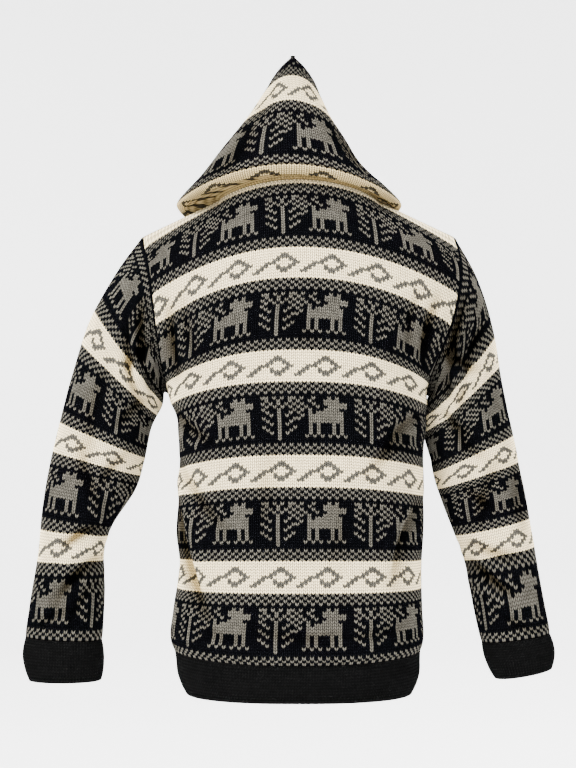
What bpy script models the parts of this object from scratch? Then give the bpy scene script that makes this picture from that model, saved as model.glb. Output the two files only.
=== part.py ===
# Knitted zip-up jacket with a pointed hood, filled out as if worn.
#
# Millimetres in the tables, metres in the meshes, +Z up. The front faces -Y and
# the wearer's left side is at +X. The origin is at the level of the neck's base,
# on the wearer's middle, where the shoulders carry the garment.

import math

import bmesh
import bpy
import numpy as np
from mathutils import Matrix, Vector

MM = 0.001
TINY = 1e-9

# Cloth and seams
KNIT_WALL = 4.0
SEAM_GAP = 0.3
TAPE_WALL = 1.2

# Colours of the solids
CHARCOAL = (0.035, 0.036, 0.042)
BLACK = (0.014, 0.014, 0.017)
TAPE = (0.012, 0.012, 0.014)
METAL = (0.55, 0.54, 0.52)

# Knitting rows, counted up from the hem band
ROW_HEIGHT = 3.72
BODY_WIDTH = 480.0
HEM_ROWS = 13
ARMPIT_ROW = 101
SHOULDER_ROW = 170
NECK_FRONT_ROW = 147
HOOD_ROWS = 58

# Zip
FRONT_EDGE = 6.0
TAPE_UNDER = 13.0
TAPE_GAP = 0.45
CHAIN_WIDTH = 5.6
CHAIN_WALL = 2.6
ZIP_TOP_SHARE = 0.08
ZIP_LIFT = 1.5
SLIDER_WIDTH = 8.0
SLIDER_LENGTH = 10.6
SLIDER_PLATE = 1.35
CORE_WIDTH = 5.4
SLOT_GAP = 0.4
BRIDGE_WIDTH = 2.2
BRIDGE_HEIGHT = 2.8
BRIDGE_WALL = 1.0
BRIDGE_MARGIN = 1.3
TAB_WALL = 1.6
TAB_TOP_WIDTH = 6.0
TAB_WIDTH = 7.2
TAB_LENGTH = 27.0
TAB_WINDOW_WIDTH = 3.0
TAB_WINDOW_LENGTH = 7.0
TAB_FLARE = 5.0
TAB_CORNER = 2.0
STOP_WIDTH = 1.7
STOP_HEIGHT = 2.2
BOX_HEIGHT = 8.0
BOX_WALL = 3.4

# Cells of the pieces' grids
BACK_CELLS = 24
FRONT_CELLS = 11
BODY_CELLS = 18
ARMHOLE_CELLS = 10
NECK_CELLS = 6
SLEEVE_CELLS = 24
HOOD_CELLS = 16
BAND_ROWS = 3
CUFF_ROWS = 3

# Torso: height of the side, half widths to the left and right, reach to the back and front
TORSO = np.array([
    # z,    left, right, back, front
    (-638, 150, 152, 118, 112),
    (-612, 160, 161, 124, 118),
    (-588, 163, 162, 125, 119),
    (-568, 169, 166, 131, 125),
    (-530, 166, 165, 129, 124),
    (-475, 159, 164, 125, 120),
    (-425, 165, 167, 124, 120),
    (-380, 163, 168, 123, 120),
    (-300, 160, 167, 124, 122),
    (-242, 174, 171, 122, 124),
], float)

# Torso levels: the height of a row at the middle and at the side
HEM_BOTTOM = -638.0
HEM_TOP_MIDDLE = -589.0
HEM_TOP_SIDE = -581.0
ARMPIT_MIDDLE = -214.0
ARMPIT_SIDE = -242.0
SECTION_POWER = 2.5

# Armhole seam: share of its rise, distance out on the left and right, reach, height
ARMHOLE = np.array([
    # share, left, right, reach, z
    (0.00, 174, 171, 0.15, -242),
    (0.24, 180, 180, 47, -206),
    (0.50, 188, 203, 65, -142),
    (0.76, 197, 214, 50, -77),
    (1.00, 212, 213, 0.15, -29),
], float)

# Shoulder and neck seam: side, depth and height of its corners
SHOULDER_TIP = (212.0, 0.15, -29.0)
SIDE_NECK = (106.0, 0.15, 22.0)
BACK_NECK = (0.0, 52.0, 41.0)
FRONT_NECK = (0.0, 52.0, 26.0)

# Chest above the armpits: share of the rise, reach of the back and the front, roundness
CHEST = np.array([
    # share, back, front, power
    (0.00, 122.3, 124.2, 2.50),
    (0.25, 123, 124, 2.45),
    (0.50, 118, 116, 2.25),
    (0.70, 103, 101, 1.80),
    (0.85, 83, 82, 1.30),
    (1.00, 54, 54, 0.80),
], float)
TOP_BLEND = 0.72

# Sleeve sections: share of the length, outer edge, inner edge, centre and reach in depth
LEFT_SLEEVE = np.array([
    # share, outer x, outer z, inner x, inner z, y, reach
    (0.10, 243, -72, 181, -240, -1, 66),
    (0.20, 277, -133, 184, -256, -2, 63),
    (0.32, 304, -215, 199, -287, -3, 60),
    (0.44, 323, -290, 209, -334, -3, 57),
    (0.54, 336, -350, 221, -372, -2, 54),
    (0.63, 344, -405, 252, -420, -3, 50),
    (0.70, 348, -450, 261, -451, -6, 49),
    (0.80, 358, -505, 262, -508, -14, 47),
    (0.92, 369, -568, 266, -573, -25, 43),
], float)

RIGHT_SLEEVE = np.array([
    (0.10, 243, -85, 178, -246, -1, 66),
    (0.20, 262, -150, 176, -268, -2, 63),
    (0.32, 275, -228, 178, -306, -3, 60),
    (0.44, 291, -305, 184, -352, -3, 57),
    (0.54, 304, -370, 198, -395, -2, 54),
    (0.63, 314, -428, 219, -450, -3, 50),
    (0.70, 320, -465, 228, -482, -6, 49),
    (0.80, 330, -515, 238, -530, -14, 47),
    (0.92, 341, -563, 249, -576, -25, 43),
], float)

# Roundness of a sleeve, where it leaves its armhole and where its cuff starts
TUBE_POWER = 2.2
ARMHOLE_BLEND = 0.24
CUFF_SHARE = 0.92

# Cuff sections in the same columns
LEFT_CUFF = np.array([
    (0.00, 369, -568.6, 266, -573.6, -25, 43),
    (0.50, 373, -597, 264, -601, -30, 42),
    (1.00, 366, -629, 267, -629, -35, 41),
], float)

RIGHT_CUFF = np.array([
    (0.00, 341, -563.6, 249, -576.6, -25, 43),
    (0.50, 348, -588, 255, -601, -30, 42),
    (1.00, 346, -612, 267, -627, -35, 41),
], float)

# Hood rows: middle back, side and front edge of each
HOOD = np.array([
    # row, half, shift, side y, side z, back y, back z, front x, front y, front z
    (6, 142, 12, -2, 12, 74, 43, 32, -104, -46),
    (11, 153, 12, -6, 15, 85, 54, 56, -118, -22),
    (20, 123, 14, -12, 49, 83, 84, 70, -126, 14),
    (30, 89, 13, -24, 96, 72, 121, 74, -134, 46),
    (40, 64, 10, -40, 132, 59, 157, 60, -142, 74),
    (50, 46, 8, -50, 158, 45, 190, 44, -146, 96),
    (55, 31, 7, -56, 172, 38, 206, 27, -150, 108),
    (58, 0, 7, -60, 177, 32, 213, 0, -152, 112),
], float)
HOOD_BLEND_ROW = 6.0
HOOD_TURN_ROWS = (0.0, 1.3, 3.2)
HOOD_LIFT = 6.0
RIDGE_DEPTH = 1.5
RIDGE_SHRINK = 0.02

# How the cloth leans at the neck seam
NECK_LEAN = (0.00454, 0.02)
NECK_RISE_LEAN = 0.004
SEAM_REACH = 4.0

# Largest folds: where each starts and ends, how wide and how deep it is
BACK_FOLDS = [
    # left share, row, left share, row, width, depth
    (0.02, 52, 0.16, 12, 16, -6.0),
    (0.03, 66, 0.20, 44, 15, -4.0),
    (0.97, 60, 0.86, 30, 15, -4.0),
    (0.05, 6, 0.95, 6, 13, 3.0),
]
FOLD_END = 0.08
FOLD_EDGE_SHARE = 0.04
FOLD_EDGE_ROWS = 5.0


def through(places, values, at):
    """Smooth curve through a table's column, read at the given places."""
    at = np.clip(np.asarray(at, float), places[0], places[-1])
    slopes = np.gradient(values, places)
    index = np.clip(np.searchsorted(places, at, side="right") - 1, 0, len(places) - 2)
    step = places[index + 1] - places[index]
    t = (at - places[index]) / step
    start = (2 * t ** 3 - 3 * t ** 2 + 1) * values[index]
    start_slope = (t ** 3 - 2 * t ** 2 + t) * slopes[index] * step
    end = (3 * t ** 2 - 2 * t ** 3) * values[index + 1]
    end_slope = (t ** 3 - t ** 2) * slopes[index + 1] * step
    return start + start_slope + end + end_slope


def ease(t):
    """Soft step from 0 to 1."""
    t = np.clip(t, 0.0, 1.0)
    return t * t * (3.0 - 2.0 * t)


def even(points, shares):
    """Points at even lengths along a dense line."""
    steps = np.linalg.norm(np.diff(points, axis=0), axis=1)
    length = np.concatenate([[0.0], np.cumsum(steps)])
    at = length[-1] * np.asarray(shares, float)
    return np.column_stack([np.interp(at, length, points[:, axis]) for axis in range(3)])


def section_row(face, row):
    """Half a ring of the torso below the armpits, from the left side to the right."""
    if row < 0.0:
        share = -row / HEM_ROWS
        middle = HEM_TOP_MIDDLE + share * (HEM_BOTTOM - HEM_TOP_MIDDLE)
        side = HEM_TOP_SIDE + share * (HEM_BOTTOM - HEM_TOP_SIDE)
    else:
        share = row / ARMPIT_ROW
        middle = HEM_TOP_MIDDLE + share * (ARMPIT_MIDDLE - HEM_TOP_MIDDLE)
        side = HEM_TOP_SIDE + share * (ARMPIT_SIDE - HEM_TOP_SIDE)
    return ring_half(face, middle, side)


def ring_half(face, middle, side, count=121):
    """Half a ring at the given heights of its middle and sides."""
    turn = np.linspace(0.0, math.pi, count)
    height = side + (middle - side) * np.sin(turn) ** 2
    left, right, back, front = (through(TORSO[:, 0], TORSO[:, column], height) for column in range(1, 5))
    across = np.abs(np.cos(turn)) ** (2.0 / SECTION_POWER) * np.sign(np.cos(turn))
    reach = np.abs(np.sin(turn)) ** (2.0 / SECTION_POWER)
    x = across * np.where(across > 0.0, left, right)
    y = face * (reach * (back if face > 0 else front) + SEAM_GAP / 2.0)
    return np.column_stack([x, y, height])


def armhole_edge(face, side, share):
    """Point of the armhole seam at a share of its rise."""
    column = 1 if side > 0 else 2
    x = side * through(ARMHOLE[:, 0], ARMHOLE[:, column], share)
    y = face * through(ARMHOLE[:, 0], ARMHOLE[:, 3], share)
    z = through(ARMHOLE[:, 0], ARMHOLE[:, 4], share)
    return np.array([float(x), float(y), float(z)])


def shoulder_line(face, count=121):
    """Top line of a panel, from the left shoulder tip over the neck to the right one."""
    middle = BACK_NECK if face > 0 else FRONT_NECK
    turn = np.linspace(0.0, math.pi / 2.0, count // 3)
    neck = np.column_stack([
        SIDE_NECK[0] * np.cos(turn),
        SIDE_NECK[1] + (middle[1] - SIDE_NECK[1]) * np.sin(turn),
        SIDE_NECK[2] + (middle[2] - SIDE_NECK[2]) * np.sin(turn) ** 2,
    ])
    slope = np.linspace(SHOULDER_TIP, SIDE_NECK, count // 4)[:-1]
    left = np.vstack([slope, neck])
    left[:, 1] *= face
    right = left[::-1][1:] * (-1.0, 1.0, 1.0)
    return even(np.vstack([left, right]), np.linspace(0.0, 1.0, count))


def upper_row(face, row, count=121):
    """Row of a panel above the armpits, between its two armhole seams."""
    share = (row - ARMPIT_ROW) / (SHOULDER_ROW - ARMPIT_ROW)
    middle_reach = float(through(CHEST[:, 0], CHEST[:, 1 if face > 0 else 2], share))
    power = float(through(CHEST[:, 0], CHEST[:, 3], share))
    middle = ARMPIT_MIDDLE + share * ((BACK_NECK if face > 0 else FRONT_NECK)[2] - ARMPIT_MIDDLE)
    left = half_row(face, 1, share, middle, middle_reach, power, count // 2 + 1)
    right = half_row(face, -1, share, middle, middle_reach, power, count // 2 + 1)
    points = even(np.vstack([left, right[::-1][1:]]), np.linspace(0.0, 1.0, count))
    top = ease((share - TOP_BLEND) / (1.0 - TOP_BLEND))
    ends = points[0], points[-1]
    points = points + top * (shoulder_line(face, count) - points)
    across = np.linspace(0.0, 1.0, count)
    points += ((1.0 - across) ** 6)[:, None] * (ends[0] - points[0])
    points += (across ** 6)[:, None] * (ends[1] - points[-1])
    return points


def half_row(face, side, share, middle, middle_reach, power, count):
    """Half of an upper row, from its armhole seam to the wearer's middle."""
    edge = armhole_edge(face, side, share)
    start = math.asin(min(abs(edge[1]) / middle_reach, 1.0) ** (power / 2.0))
    turn = np.linspace(start, math.pi / 2.0, count)
    across = np.cos(turn) ** (2.0 / power) / math.cos(start) ** (2.0 / power)
    reach = middle_reach * np.sin(turn) ** (2.0 / power)
    low = 1.0 - np.cos(turn) ** 2 / math.cos(start) ** 2
    high = 1.0 - across ** 2
    height = edge[2] + (middle - edge[2]) * ((1.0 - share) * low + share * high)
    return np.column_stack([edge[0] * across, face * reach, height])


def panel_row(face, row):
    """Whole row of the back (face 1) or of both fronts (face -1)."""
    return section_row(face, row) if row <= ARMPIT_ROW else upper_row(face, row)


def row_lengths(points):
    """Length along a row from the wearer's middle, positive to the left."""
    steps = np.linalg.norm(np.diff(points, axis=0), axis=1)
    length = np.concatenate([[0.0], np.cumsum(steps)])
    middle = np.interp(0.0, -points[:, 0], length)
    return middle - length


def neck_cut(row, side_length):
    """Where the front neckline crosses a row, measured from the middle."""
    share = np.clip((SHOULDER_ROW - row) / (SHOULDER_ROW - NECK_FRONT_ROW), 0.0, 1.0)
    return FRONT_EDGE + (side_length - FRONT_EDGE) * math.sqrt(1.0 - share ** 2)


def side_neck_length():
    """Length from the middle of the front's top line to the side of the neck."""
    points = shoulder_line(-1)
    lengths = row_lengths(points)
    return float(np.interp(-SIDE_NECK[0], -points[:, 0], lengths))


def row_points(face, row, low, high, shares):
    """Points of a row between two lengths from the middle."""
    points = panel_row(face, row)
    lengths = row_lengths(points)
    at = high + (low - high) * np.asarray(shares, float)
    return np.column_stack([np.interp(-at, -lengths, points[:, axis]) for axis in range(3)])


def panel_levels():
    """Knitting rows of the side edge and of the front's centre edge, level by level."""
    low = np.linspace(0.0, ARMPIT_ROW, BODY_CELLS + 1)
    side = np.concatenate([low, np.linspace(ARMPIT_ROW, SHOULDER_ROW, ARMHOLE_CELLS + 1)[1:]])
    turn = np.linspace(0.0, math.pi / 2.0, NECK_CELLS + 1)[1:]
    centre = np.concatenate([
        low,
        np.linspace(ARMPIT_ROW, NECK_FRONT_ROW, ARMHOLE_CELLS - NECK_CELLS + 1)[1:],
        SHOULDER_ROW - (SHOULDER_ROW - NECK_FRONT_ROW) * np.cos(turn),
    ])
    return side, centre


def back_grid(rows):
    """Outer points of the back: rows of points from left to right."""
    shares = np.linspace(0.0, 1.0, BACK_CELLS + 1)
    grid = []
    for row in rows:
        lengths = row_lengths(panel_row(1, row))
        grid.append(row_points(1, row, lengths[-1], lengths[0], shares))
    return np.array(grid)


def front_grid(side, side_rows, centre_rows):
    """Outer points of one front: levels of points from its side seam to its centre edge."""
    shares = np.linspace(0.0, 1.0, FRONT_CELLS + 1)
    neck = side_neck_length()
    grid = []
    for side_row, centre_row in zip(side_rows, centre_rows):
        line = []
        for share in shares:
            row = side_row + share * (centre_row - side_row)
            lengths = row_lengths(panel_row(-1, row))
            outer = lengths[0] if side > 0 else -lengths[-1]
            length = side * (outer + share * (neck_cut(row, neck) - outer))
            line.append(row_points(-1, row, length, length, [0.0])[0])
        grid.append(line)
    return np.array(grid)


def folded(grid, normals, folds):
    """Grid moved in and out by the large folds."""
    rows, across = grid.shape[:2]
    share = np.linspace(0.0, 1.0, across)[None, :] * np.ones((rows, 1))
    row = np.linspace(0.0, SHOULDER_ROW, rows)[:, None] * np.ones((1, across))
    moved = np.zeros((rows, across))
    for start_share, start_row, end_share, end_row, size, depth in folds:
        start = np.array([start_share * BODY_WIDTH, start_row * ROW_HEIGHT])
        along = np.array([end_share * BODY_WIDTH, end_row * ROW_HEIGHT]) - start
        place = np.stack([share * BODY_WIDTH, row * ROW_HEIGHT], axis=-1) - start
        at = np.clip(place @ along / (along @ along), 0.0, 1.0)
        away = np.linalg.norm(place - at[..., None] * along, axis=-1)
        moved += depth * np.exp(-(away / size) ** 2) * np.sin(math.pi * np.clip(at, FOLD_END, 1.0 - FOLD_END))
    edge = np.minimum(share, 1.0 - share) / FOLD_EDGE_SHARE
    end = np.minimum(row, SHOULDER_ROW - row) / FOLD_EDGE_ROWS
    moved *= ease(edge) * ease(end)
    return grid + normals * moved[..., None]


def grid_normals(grid, closed=False):
    """Unit normals of a grid of points, row direction crossed with the rise."""
    if closed:
        along = np.roll(grid, -1, axis=1) - np.roll(grid, 1, axis=1)
    else:
        along = np.gradient(grid, axis=1)
    rise = np.gradient(grid, axis=0)
    normals = np.cross(along, rise)
    return normals / np.maximum(np.linalg.norm(normals, axis=-1, keepdims=True), TINY)


def new_object(name, mesh, colour, roughness, metallic=0.0):
    """Object with its own material."""
    material = bpy.data.materials.new(name)
    material.use_nodes = True
    shader = material.node_tree.nodes["Principled BSDF"]
    shader.inputs["Base Color"].default_value = (*colour, 1.0)
    shader.inputs["Roughness"].default_value = roughness
    shader.inputs["Metallic"].default_value = metallic
    mesh.materials.append(material)
    item = bpy.data.objects.new(name, mesh)
    bpy.context.collection.objects.link(item)
    return item


def finished_mesh(name, form):
    """Mesh of a closed form, faces turned outwards and shaded smooth."""
    bmesh.ops.recalc_face_normals(form, faces=form.faces)
    if form.calc_volume(signed=True) < 0.0:
        bmesh.ops.reverse_faces(form, faces=form.faces)
    mesh = bpy.data.meshes.new(name)
    form.to_mesh(mesh)
    form.free()
    mesh.shade_smooth()
    mesh.set_sharp_from_angle(angle=math.radians(50.0))
    return mesh


def edge_strip(form, outer_a, outer_b, inner_b, inner_a):
    """Two triangles of a wall's edge, cut the same way on both sides of a seam."""
    if outer_a.co.z >= outer_b.co.z:
        form.faces.new([outer_a, outer_b, inner_b])
        form.faces.new([outer_a, inner_b, inner_a])
    else:
        form.faces.new([outer_a, outer_b, inner_a])
        form.faces.new([outer_b, inner_b, inner_a])


def wall_mesh(name, outer, inner, closed=False):
    """Closed wall between an outer and an inner grid of points, in millimetres."""
    rows, across = outer.shape[:2]
    form = bmesh.new()
    skins = [
        [[form.verts.new(point * MM) for point in line] for line in skin]
        for skin in (outer, inner)
    ]
    columns = range(across if closed else across - 1)
    for depth, skin in enumerate(skins):
        for row in range(rows - 1):
            for column in columns:
                right = (column + 1) % across
                corners = [skin[row][column], skin[row][right], skin[row + 1][right], skin[row + 1][column]]
                form.faces.new(corners if depth == 0 else corners[::-1])
    outside, inside = skins
    for column in columns:
        right = (column + 1) % across
        edge_strip(form, outside[0][column], outside[0][right], inside[0][right], inside[0][column])
        edge_strip(form, outside[-1][column], outside[-1][right], inside[-1][right], inside[-1][column])
    if not closed:
        for row in range(rows - 1):
            for column in (0, -1):
                low = outside[row][column], inside[row][column]
                high = outside[row + 1][column], inside[row + 1][column]
                edge_strip(form, low[0], high[0], high[1], low[1])
    return finished_mesh(name, form)


def inward(points, centre):
    """Unit directions towards a centre."""
    away = centre - points
    return away / np.linalg.norm(away, axis=-1, keepdims=True)


def without(directions, axis):
    """Unit directions with one component taken out."""
    flat = np.array(directions, float)
    flat[..., axis] = 0.0
    return flat / np.linalg.norm(flat, axis=-1, keepdims=True)


def panel_inner(outer, normals, armholes):
    """Inner points of a panel, with its edges square to the seams."""
    inside = -normals
    inside[0] = without(inside[0], 2)
    slope = np.array([SHOULDER_TIP[0] - SIDE_NECK[0], 0.0, SHOULDER_TIP[2] - SIDE_NECK[2]])
    under = np.array([slope[2], 0.0, -slope[0]]) / np.linalg.norm(slope)
    for column, point in enumerate(outer[-1]):
        if abs(point[0]) > SIDE_NECK[0] - SEAM_REACH:
            inside[-1, column] = under * (np.sign(point[0]), 1.0, 1.0)
        else:
            inside[-1, column] = neck_inside(point)
    if len(armholes) == 1:
        for level in range(-NECK_CELLS - 1, -1):
            inside[level, -1] = neck_inside(outer[level, -1])
    for column, directions in armholes:
        inside[:BODY_CELLS, column] = without(inside[:BODY_CELLS, column], 1)
        inside[BODY_CELLS:, column] = directions
    return outer + inside * KNIT_WALL


def neck_inside(point):
    """Direction into the cloth on the neck seam."""
    away = np.array([point[0] * NECK_LEAN[0], point[1] * NECK_LEAN[1], 1.0])
    return -away / np.linalg.norm(away)


def mixed(first, second, weight):
    """Unit directions part way from the first to the second."""
    between = first * (1.0 - weight[:, None]) + second * weight[:, None]
    return between / np.linalg.norm(between, axis=-1, keepdims=True)


def armhole_directions(side, back, front, sleeve, sleeve_middles):
    """Directions into the cloth along an armhole seam, shared by panel and sleeve."""
    column = 0 if side > 0 else -1
    back_edge = -grid_normals(back)[BODY_CELLS:, column]
    front_edge = side * grid_normals(front)[BODY_CELLS:, 0]
    panel = np.vstack([back_edge, front_edge[::-1][1:-1]])
    shared = -tube_normals(sleeve, sleeve_middles)[0] + panel
    for corner in (0, ARMHOLE_CELLS):
        shared[corner, 1] = 0.0
    return shared / np.linalg.norm(shared, axis=-1, keepdims=True)


def make_back(outer, armholes):
    """The back panel; returns its inner points."""
    directions = [(0, armholes[1][:ARMHOLE_CELLS + 1]), (-1, armholes[-1][:ARMHOLE_CELLS + 1])]
    inner = panel_inner(outer, grid_normals(outer), directions)
    new_object("back", wall_mesh("back", outer, inner), CHARCOAL, 0.92)
    return inner


def make_front(name, side, outer, armholes):
    """One front panel; returns its inner points."""
    loop = armholes[side]
    directions = np.vstack([loop[:1], loop[:ARMHOLE_CELLS - 1:-1]])
    inner = panel_inner(outer, -side * grid_normals(outer), [(0, directions)])
    new_object(name, wall_mesh(name, outer, inner), CHARCOAL, 0.92)
    return inner


def make_hem():
    """The three black hem bands, split at the side seams and the zip."""
    rows = np.linspace(-HEM_ROWS, -SEAM_GAP / ROW_HEIGHT, BAND_ROWS + 1)
    inners = {}
    for name, side in (("hem_back", 0), ("hem_left", 1), ("hem_right", -1)):
        outer = front_grid(side, rows, rows) if side else back_grid(rows)
        directions = without((side or -1) * grid_normals(outer), 2)
        for column in (0,) if side else (0, -1):
            directions[:, column] = without(directions[:, column], 1)
        inner = outer + directions * KNIT_WALL
        new_object(name, wall_mesh(name, outer, inner), BLACK, 0.95)
        inners[side] = inner
    return inners


def armhole_loop(side, shares):
    """Armhole seam as a loop: from the armpit up the back and down the front."""
    points = []
    for share in shares:
        face = 1 if share <= 0.5 else -1
        rise = 2.0 * share if share <= 0.5 else 2.0 * (1.0 - share)
        points.append(armhole_edge(face, side, rise))
    return np.array(points)


def tube_ring(table, side, share, turns):
    """Ring of a sleeve or cuff from its table, starting at the inner edge."""
    columns = [float(through(table[:, 0], table[:, column], share)) for column in range(1, 7)]
    outer_x, outer_z, inner_x, inner_z, depth, reach = columns
    middle = np.array([side * (outer_x + inner_x) / 2.0, depth, (outer_z + inner_z) / 2.0])
    half = np.array([side * (outer_x - inner_x) / 2.0, 0.0, (outer_z - inner_z) / 2.0])
    angle = 2.0 * math.pi * np.asarray(turns)
    wide = -np.sign(np.cos(angle)) * np.abs(np.cos(angle)) ** (2.0 / TUBE_POWER)
    deep = np.sign(np.sin(angle)) * np.abs(np.sin(angle)) ** (2.0 / TUBE_POWER)
    return middle + wide[:, None] * half + deep[:, None] * np.array([0.0, reach, 0.0]), middle


def sleeve_table(side):
    """Sleeve sections with the armhole added in front."""
    table = LEFT_SLEEVE if side > 0 else RIGHT_SLEEVE
    column = 1 if side > 0 else 2
    low, high = ARMHOLE[0], ARMHOLE[-1]
    start = (0.0, high[column], high[4], low[column], low[4], 0.0, ARMHOLE[2, 3])
    return np.vstack([start, table])


def sleeve_ring(side, share, turns):
    """Ring of a sleeve at a share of its length."""
    table = sleeve_table(side)
    ring, middle = tube_ring(table, side, share, turns)
    start, _ = tube_ring(table, side, 0.0, turns)
    weight = 1.0 - ease(share / ARMHOLE_BLEND)
    return ring + weight * (armhole_loop(side, turns) - start), middle


def tube_normals(grid, middles):
    """Unit normals of a closed grid, pointing away from its middle line."""
    normals = grid_normals(grid, closed=True)
    outwards = np.sum(normals * (grid - middles[:, None, :]), axis=-1).mean()
    return normals * np.sign(outwards)


def sleeve_grid(side):
    """Outer points of a sleeve and the points of its middle line."""
    turns = np.arange(2 * ARMHOLE_CELLS) / (2 * ARMHOLE_CELLS)
    rings = [sleeve_ring(side, share, turns) for share in np.linspace(0.0, CUFF_SHARE, SLEEVE_CELLS + 1)]
    return np.array([ring for ring, _ in rings]), np.array([middle for _, middle in rings])


def make_sleeve(name, side, outer, middles, directions):
    """One sleeve from its armhole seam to its cuff seam."""
    inside = -tube_normals(outer, middles)
    inside[0] = directions
    inside[-1] = inward(outer[-1], middles[-1])
    inner = outer + inside * KNIT_WALL
    seam = np.roll(outer[0], -1, axis=0) - np.roll(outer[0], 1, axis=0)
    away = np.cross(seam, directions)
    away /= np.linalg.norm(away, axis=-1, keepdims=True)
    away *= side * np.sign(away[:, :1])
    outer[0] += away * SEAM_GAP
    inner[0] += away * SEAM_GAP
    new_object(name, wall_mesh(name, outer, inner, closed=True), CHARCOAL, 0.92)


def make_cuff(name, side):
    """One black cuff."""
    turns = np.arange(2 * ARMHOLE_CELLS) / (2 * ARMHOLE_CELLS)
    table = LEFT_CUFF if side > 0 else RIGHT_CUFF
    rings = [tube_ring(table, side, share, turns) for share in np.linspace(0.0, 1.0, CUFF_ROWS + 1)]
    outer = np.array([ring for ring, _ in rings])
    middles = np.array([middle for _, middle in rings])
    inner = outer + inward(outer, middles[:, None, :]) * KNIT_WALL
    new_object(name, wall_mesh(name, outer, inner, closed=True), BLACK, 0.95)


def hood_ring(row, places):
    """Points of one hood row from its left front edge round the back to the right."""
    half, shift, side_y, side_z, back_y, back_z, front_x, front_y, front_z = (
        float(through(HOOD[:, 0], HOOD[:, column], row)) for column in range(1, 10)
    )
    places = np.asarray(places, float)
    sign = -np.sign(places)
    reach = np.abs(places)
    back = np.clip(reach / 0.5, 0.0, 1.0) * math.pi / 2.0
    front = np.clip((reach - 0.5) / 0.5, 0.0, 1.0) * math.pi / 2.0
    x = np.where(reach <= 0.5, half * np.sin(back), front_x + (half - front_x) * np.cos(front) ** 1.4)
    y = np.where(
        reach <= 0.5,
        side_y + (back_y - side_y) * np.cos(back),
        side_y + (front_y - side_y) * np.sin(front),
    )
    z = np.where(
        reach <= 0.5,
        side_z + (back_z - side_z) * np.cos(back) ** 2,
        side_z + (front_z - side_z) * np.sin(front) ** 1.5,
    )
    return np.column_stack([sign * x + shift, y, z])


def make_hood(back, left, right):
    """The hood, from the neck seam to the seam along its top."""
    neck_outer, neck_inner, rise = neck_seam(back, left, right)
    places = neck_places(neck_outer)
    rows = np.concatenate([HOOD_TURN_ROWS, np.linspace(HOOD_BLEND_ROW, HOOD_ROWS, HOOD_CELLS - 2)])
    outer = []
    for row in rows:
        share = min(row / HOOD_BLEND_ROW, 1.0)
        weight = ease((share - 0.16) / 0.84)
        lift = rise * HOOD_LIFT * math.sin(math.pi * share)
        outer.append((1.0 - weight) * neck_outer + weight * hood_ring(max(row, HOOD_BLEND_ROW), places) + lift)
    outer = np.array(outer)
    outer[-1, :, 0] = outer[-1, len(places) // 2, 0]
    inner = outer - grid_normals(outer) * KNIT_WALL
    inner[0] = neck_inner
    inner[-1] = outer[-1] + np.array([0.0, 0.0, -1.0]) * KNIT_WALL * RIDGE_DEPTH
    inner[-1, :, 1] -= (outer[-1, :, 1] - outer[-1, -1, 1]) * RIDGE_SHRINK
    new_object("hood", hood_mesh(outer, inner), CHARCOAL, 0.92)


def neck_places(points):
    """Place of each neck point: -1 and 1 at the front edges, halves at the sides, 0 at the back."""
    steps = np.linalg.norm(np.diff(points, axis=0), axis=1)
    length = np.concatenate([[0.0], np.cumsum(steps)])
    middle = len(points) // 2
    marks = [0, NECK_CELLS, middle, len(points) - 1 - NECK_CELLS, len(points) - 1]
    places = np.interp(length, length[marks], [-1.0, -0.5, 0.0, 0.5, 1.0])
    return (places - places[::-1]) / 2.0


def neck_seam(back, left, right):
    """Outer and inner points of the neck seam, from the left front round to the right."""
    side = BACK_CELLS // 4
    pairs = []
    for index in (0, 1):
        front_left = left[index][-NECK_CELLS - 1:, -1]
        front_right = right[index][-NECK_CELLS - 1:, -1][::-1]
        middle = back[index][-1, side + 1:-side - 1]
        pairs.append(np.vstack([front_left, middle, front_right]))
    outer, inner = pairs
    for corner in (NECK_CELLS, -NECK_CELLS - 1):
        outer[corner, 1] = 0.0
        inner[corner, 1] = 0.0
    rise = -outer * (NECK_RISE_LEAN, NECK_RISE_LEAN, 0.0) + (0.0, 0.0, 1.0)
    rise /= np.linalg.norm(rise, axis=-1, keepdims=True)
    return outer + rise * SEAM_GAP, inner + rise * SEAM_GAP, rise


def hood_mesh(outer, inner):
    """Closed hood wall whose two top edges meet in one ridge."""
    form = bmesh.new()
    skins = [[[form.verts.new(point * MM) for point in line] for line in skin] for skin in (outer, inner)]
    rows, across = outer.shape[:2]
    for depth, skin in enumerate(skins):
        for row in range(rows - 1):
            for column in range(across - 1):
                corners = [
                    skin[row][column],
                    skin[row][column + 1],
                    skin[row + 1][column + 1],
                    skin[row + 1][column],
                ]
                form.faces.new(corners if depth == 0 else corners[::-1])
    outside, inside = skins
    for column in range(across - 1):
        edge_strip(form, outside[0][column], outside[0][column + 1], inside[0][column + 1], inside[0][column])
    for row in range(rows - 1):
        for column in (0, -1):
            low = outside[row][column], inside[row][column]
            high = outside[row + 1][column], inside[row + 1][column]
            edge_strip(form, low[0], high[0], high[1], low[1])
    bmesh.ops.remove_doubles(form, verts=outside[-1], dist=0.00001)
    bmesh.ops.remove_doubles(form, verts=inside[-1], dist=0.00001)
    return finished_mesh("hood", form)


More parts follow.
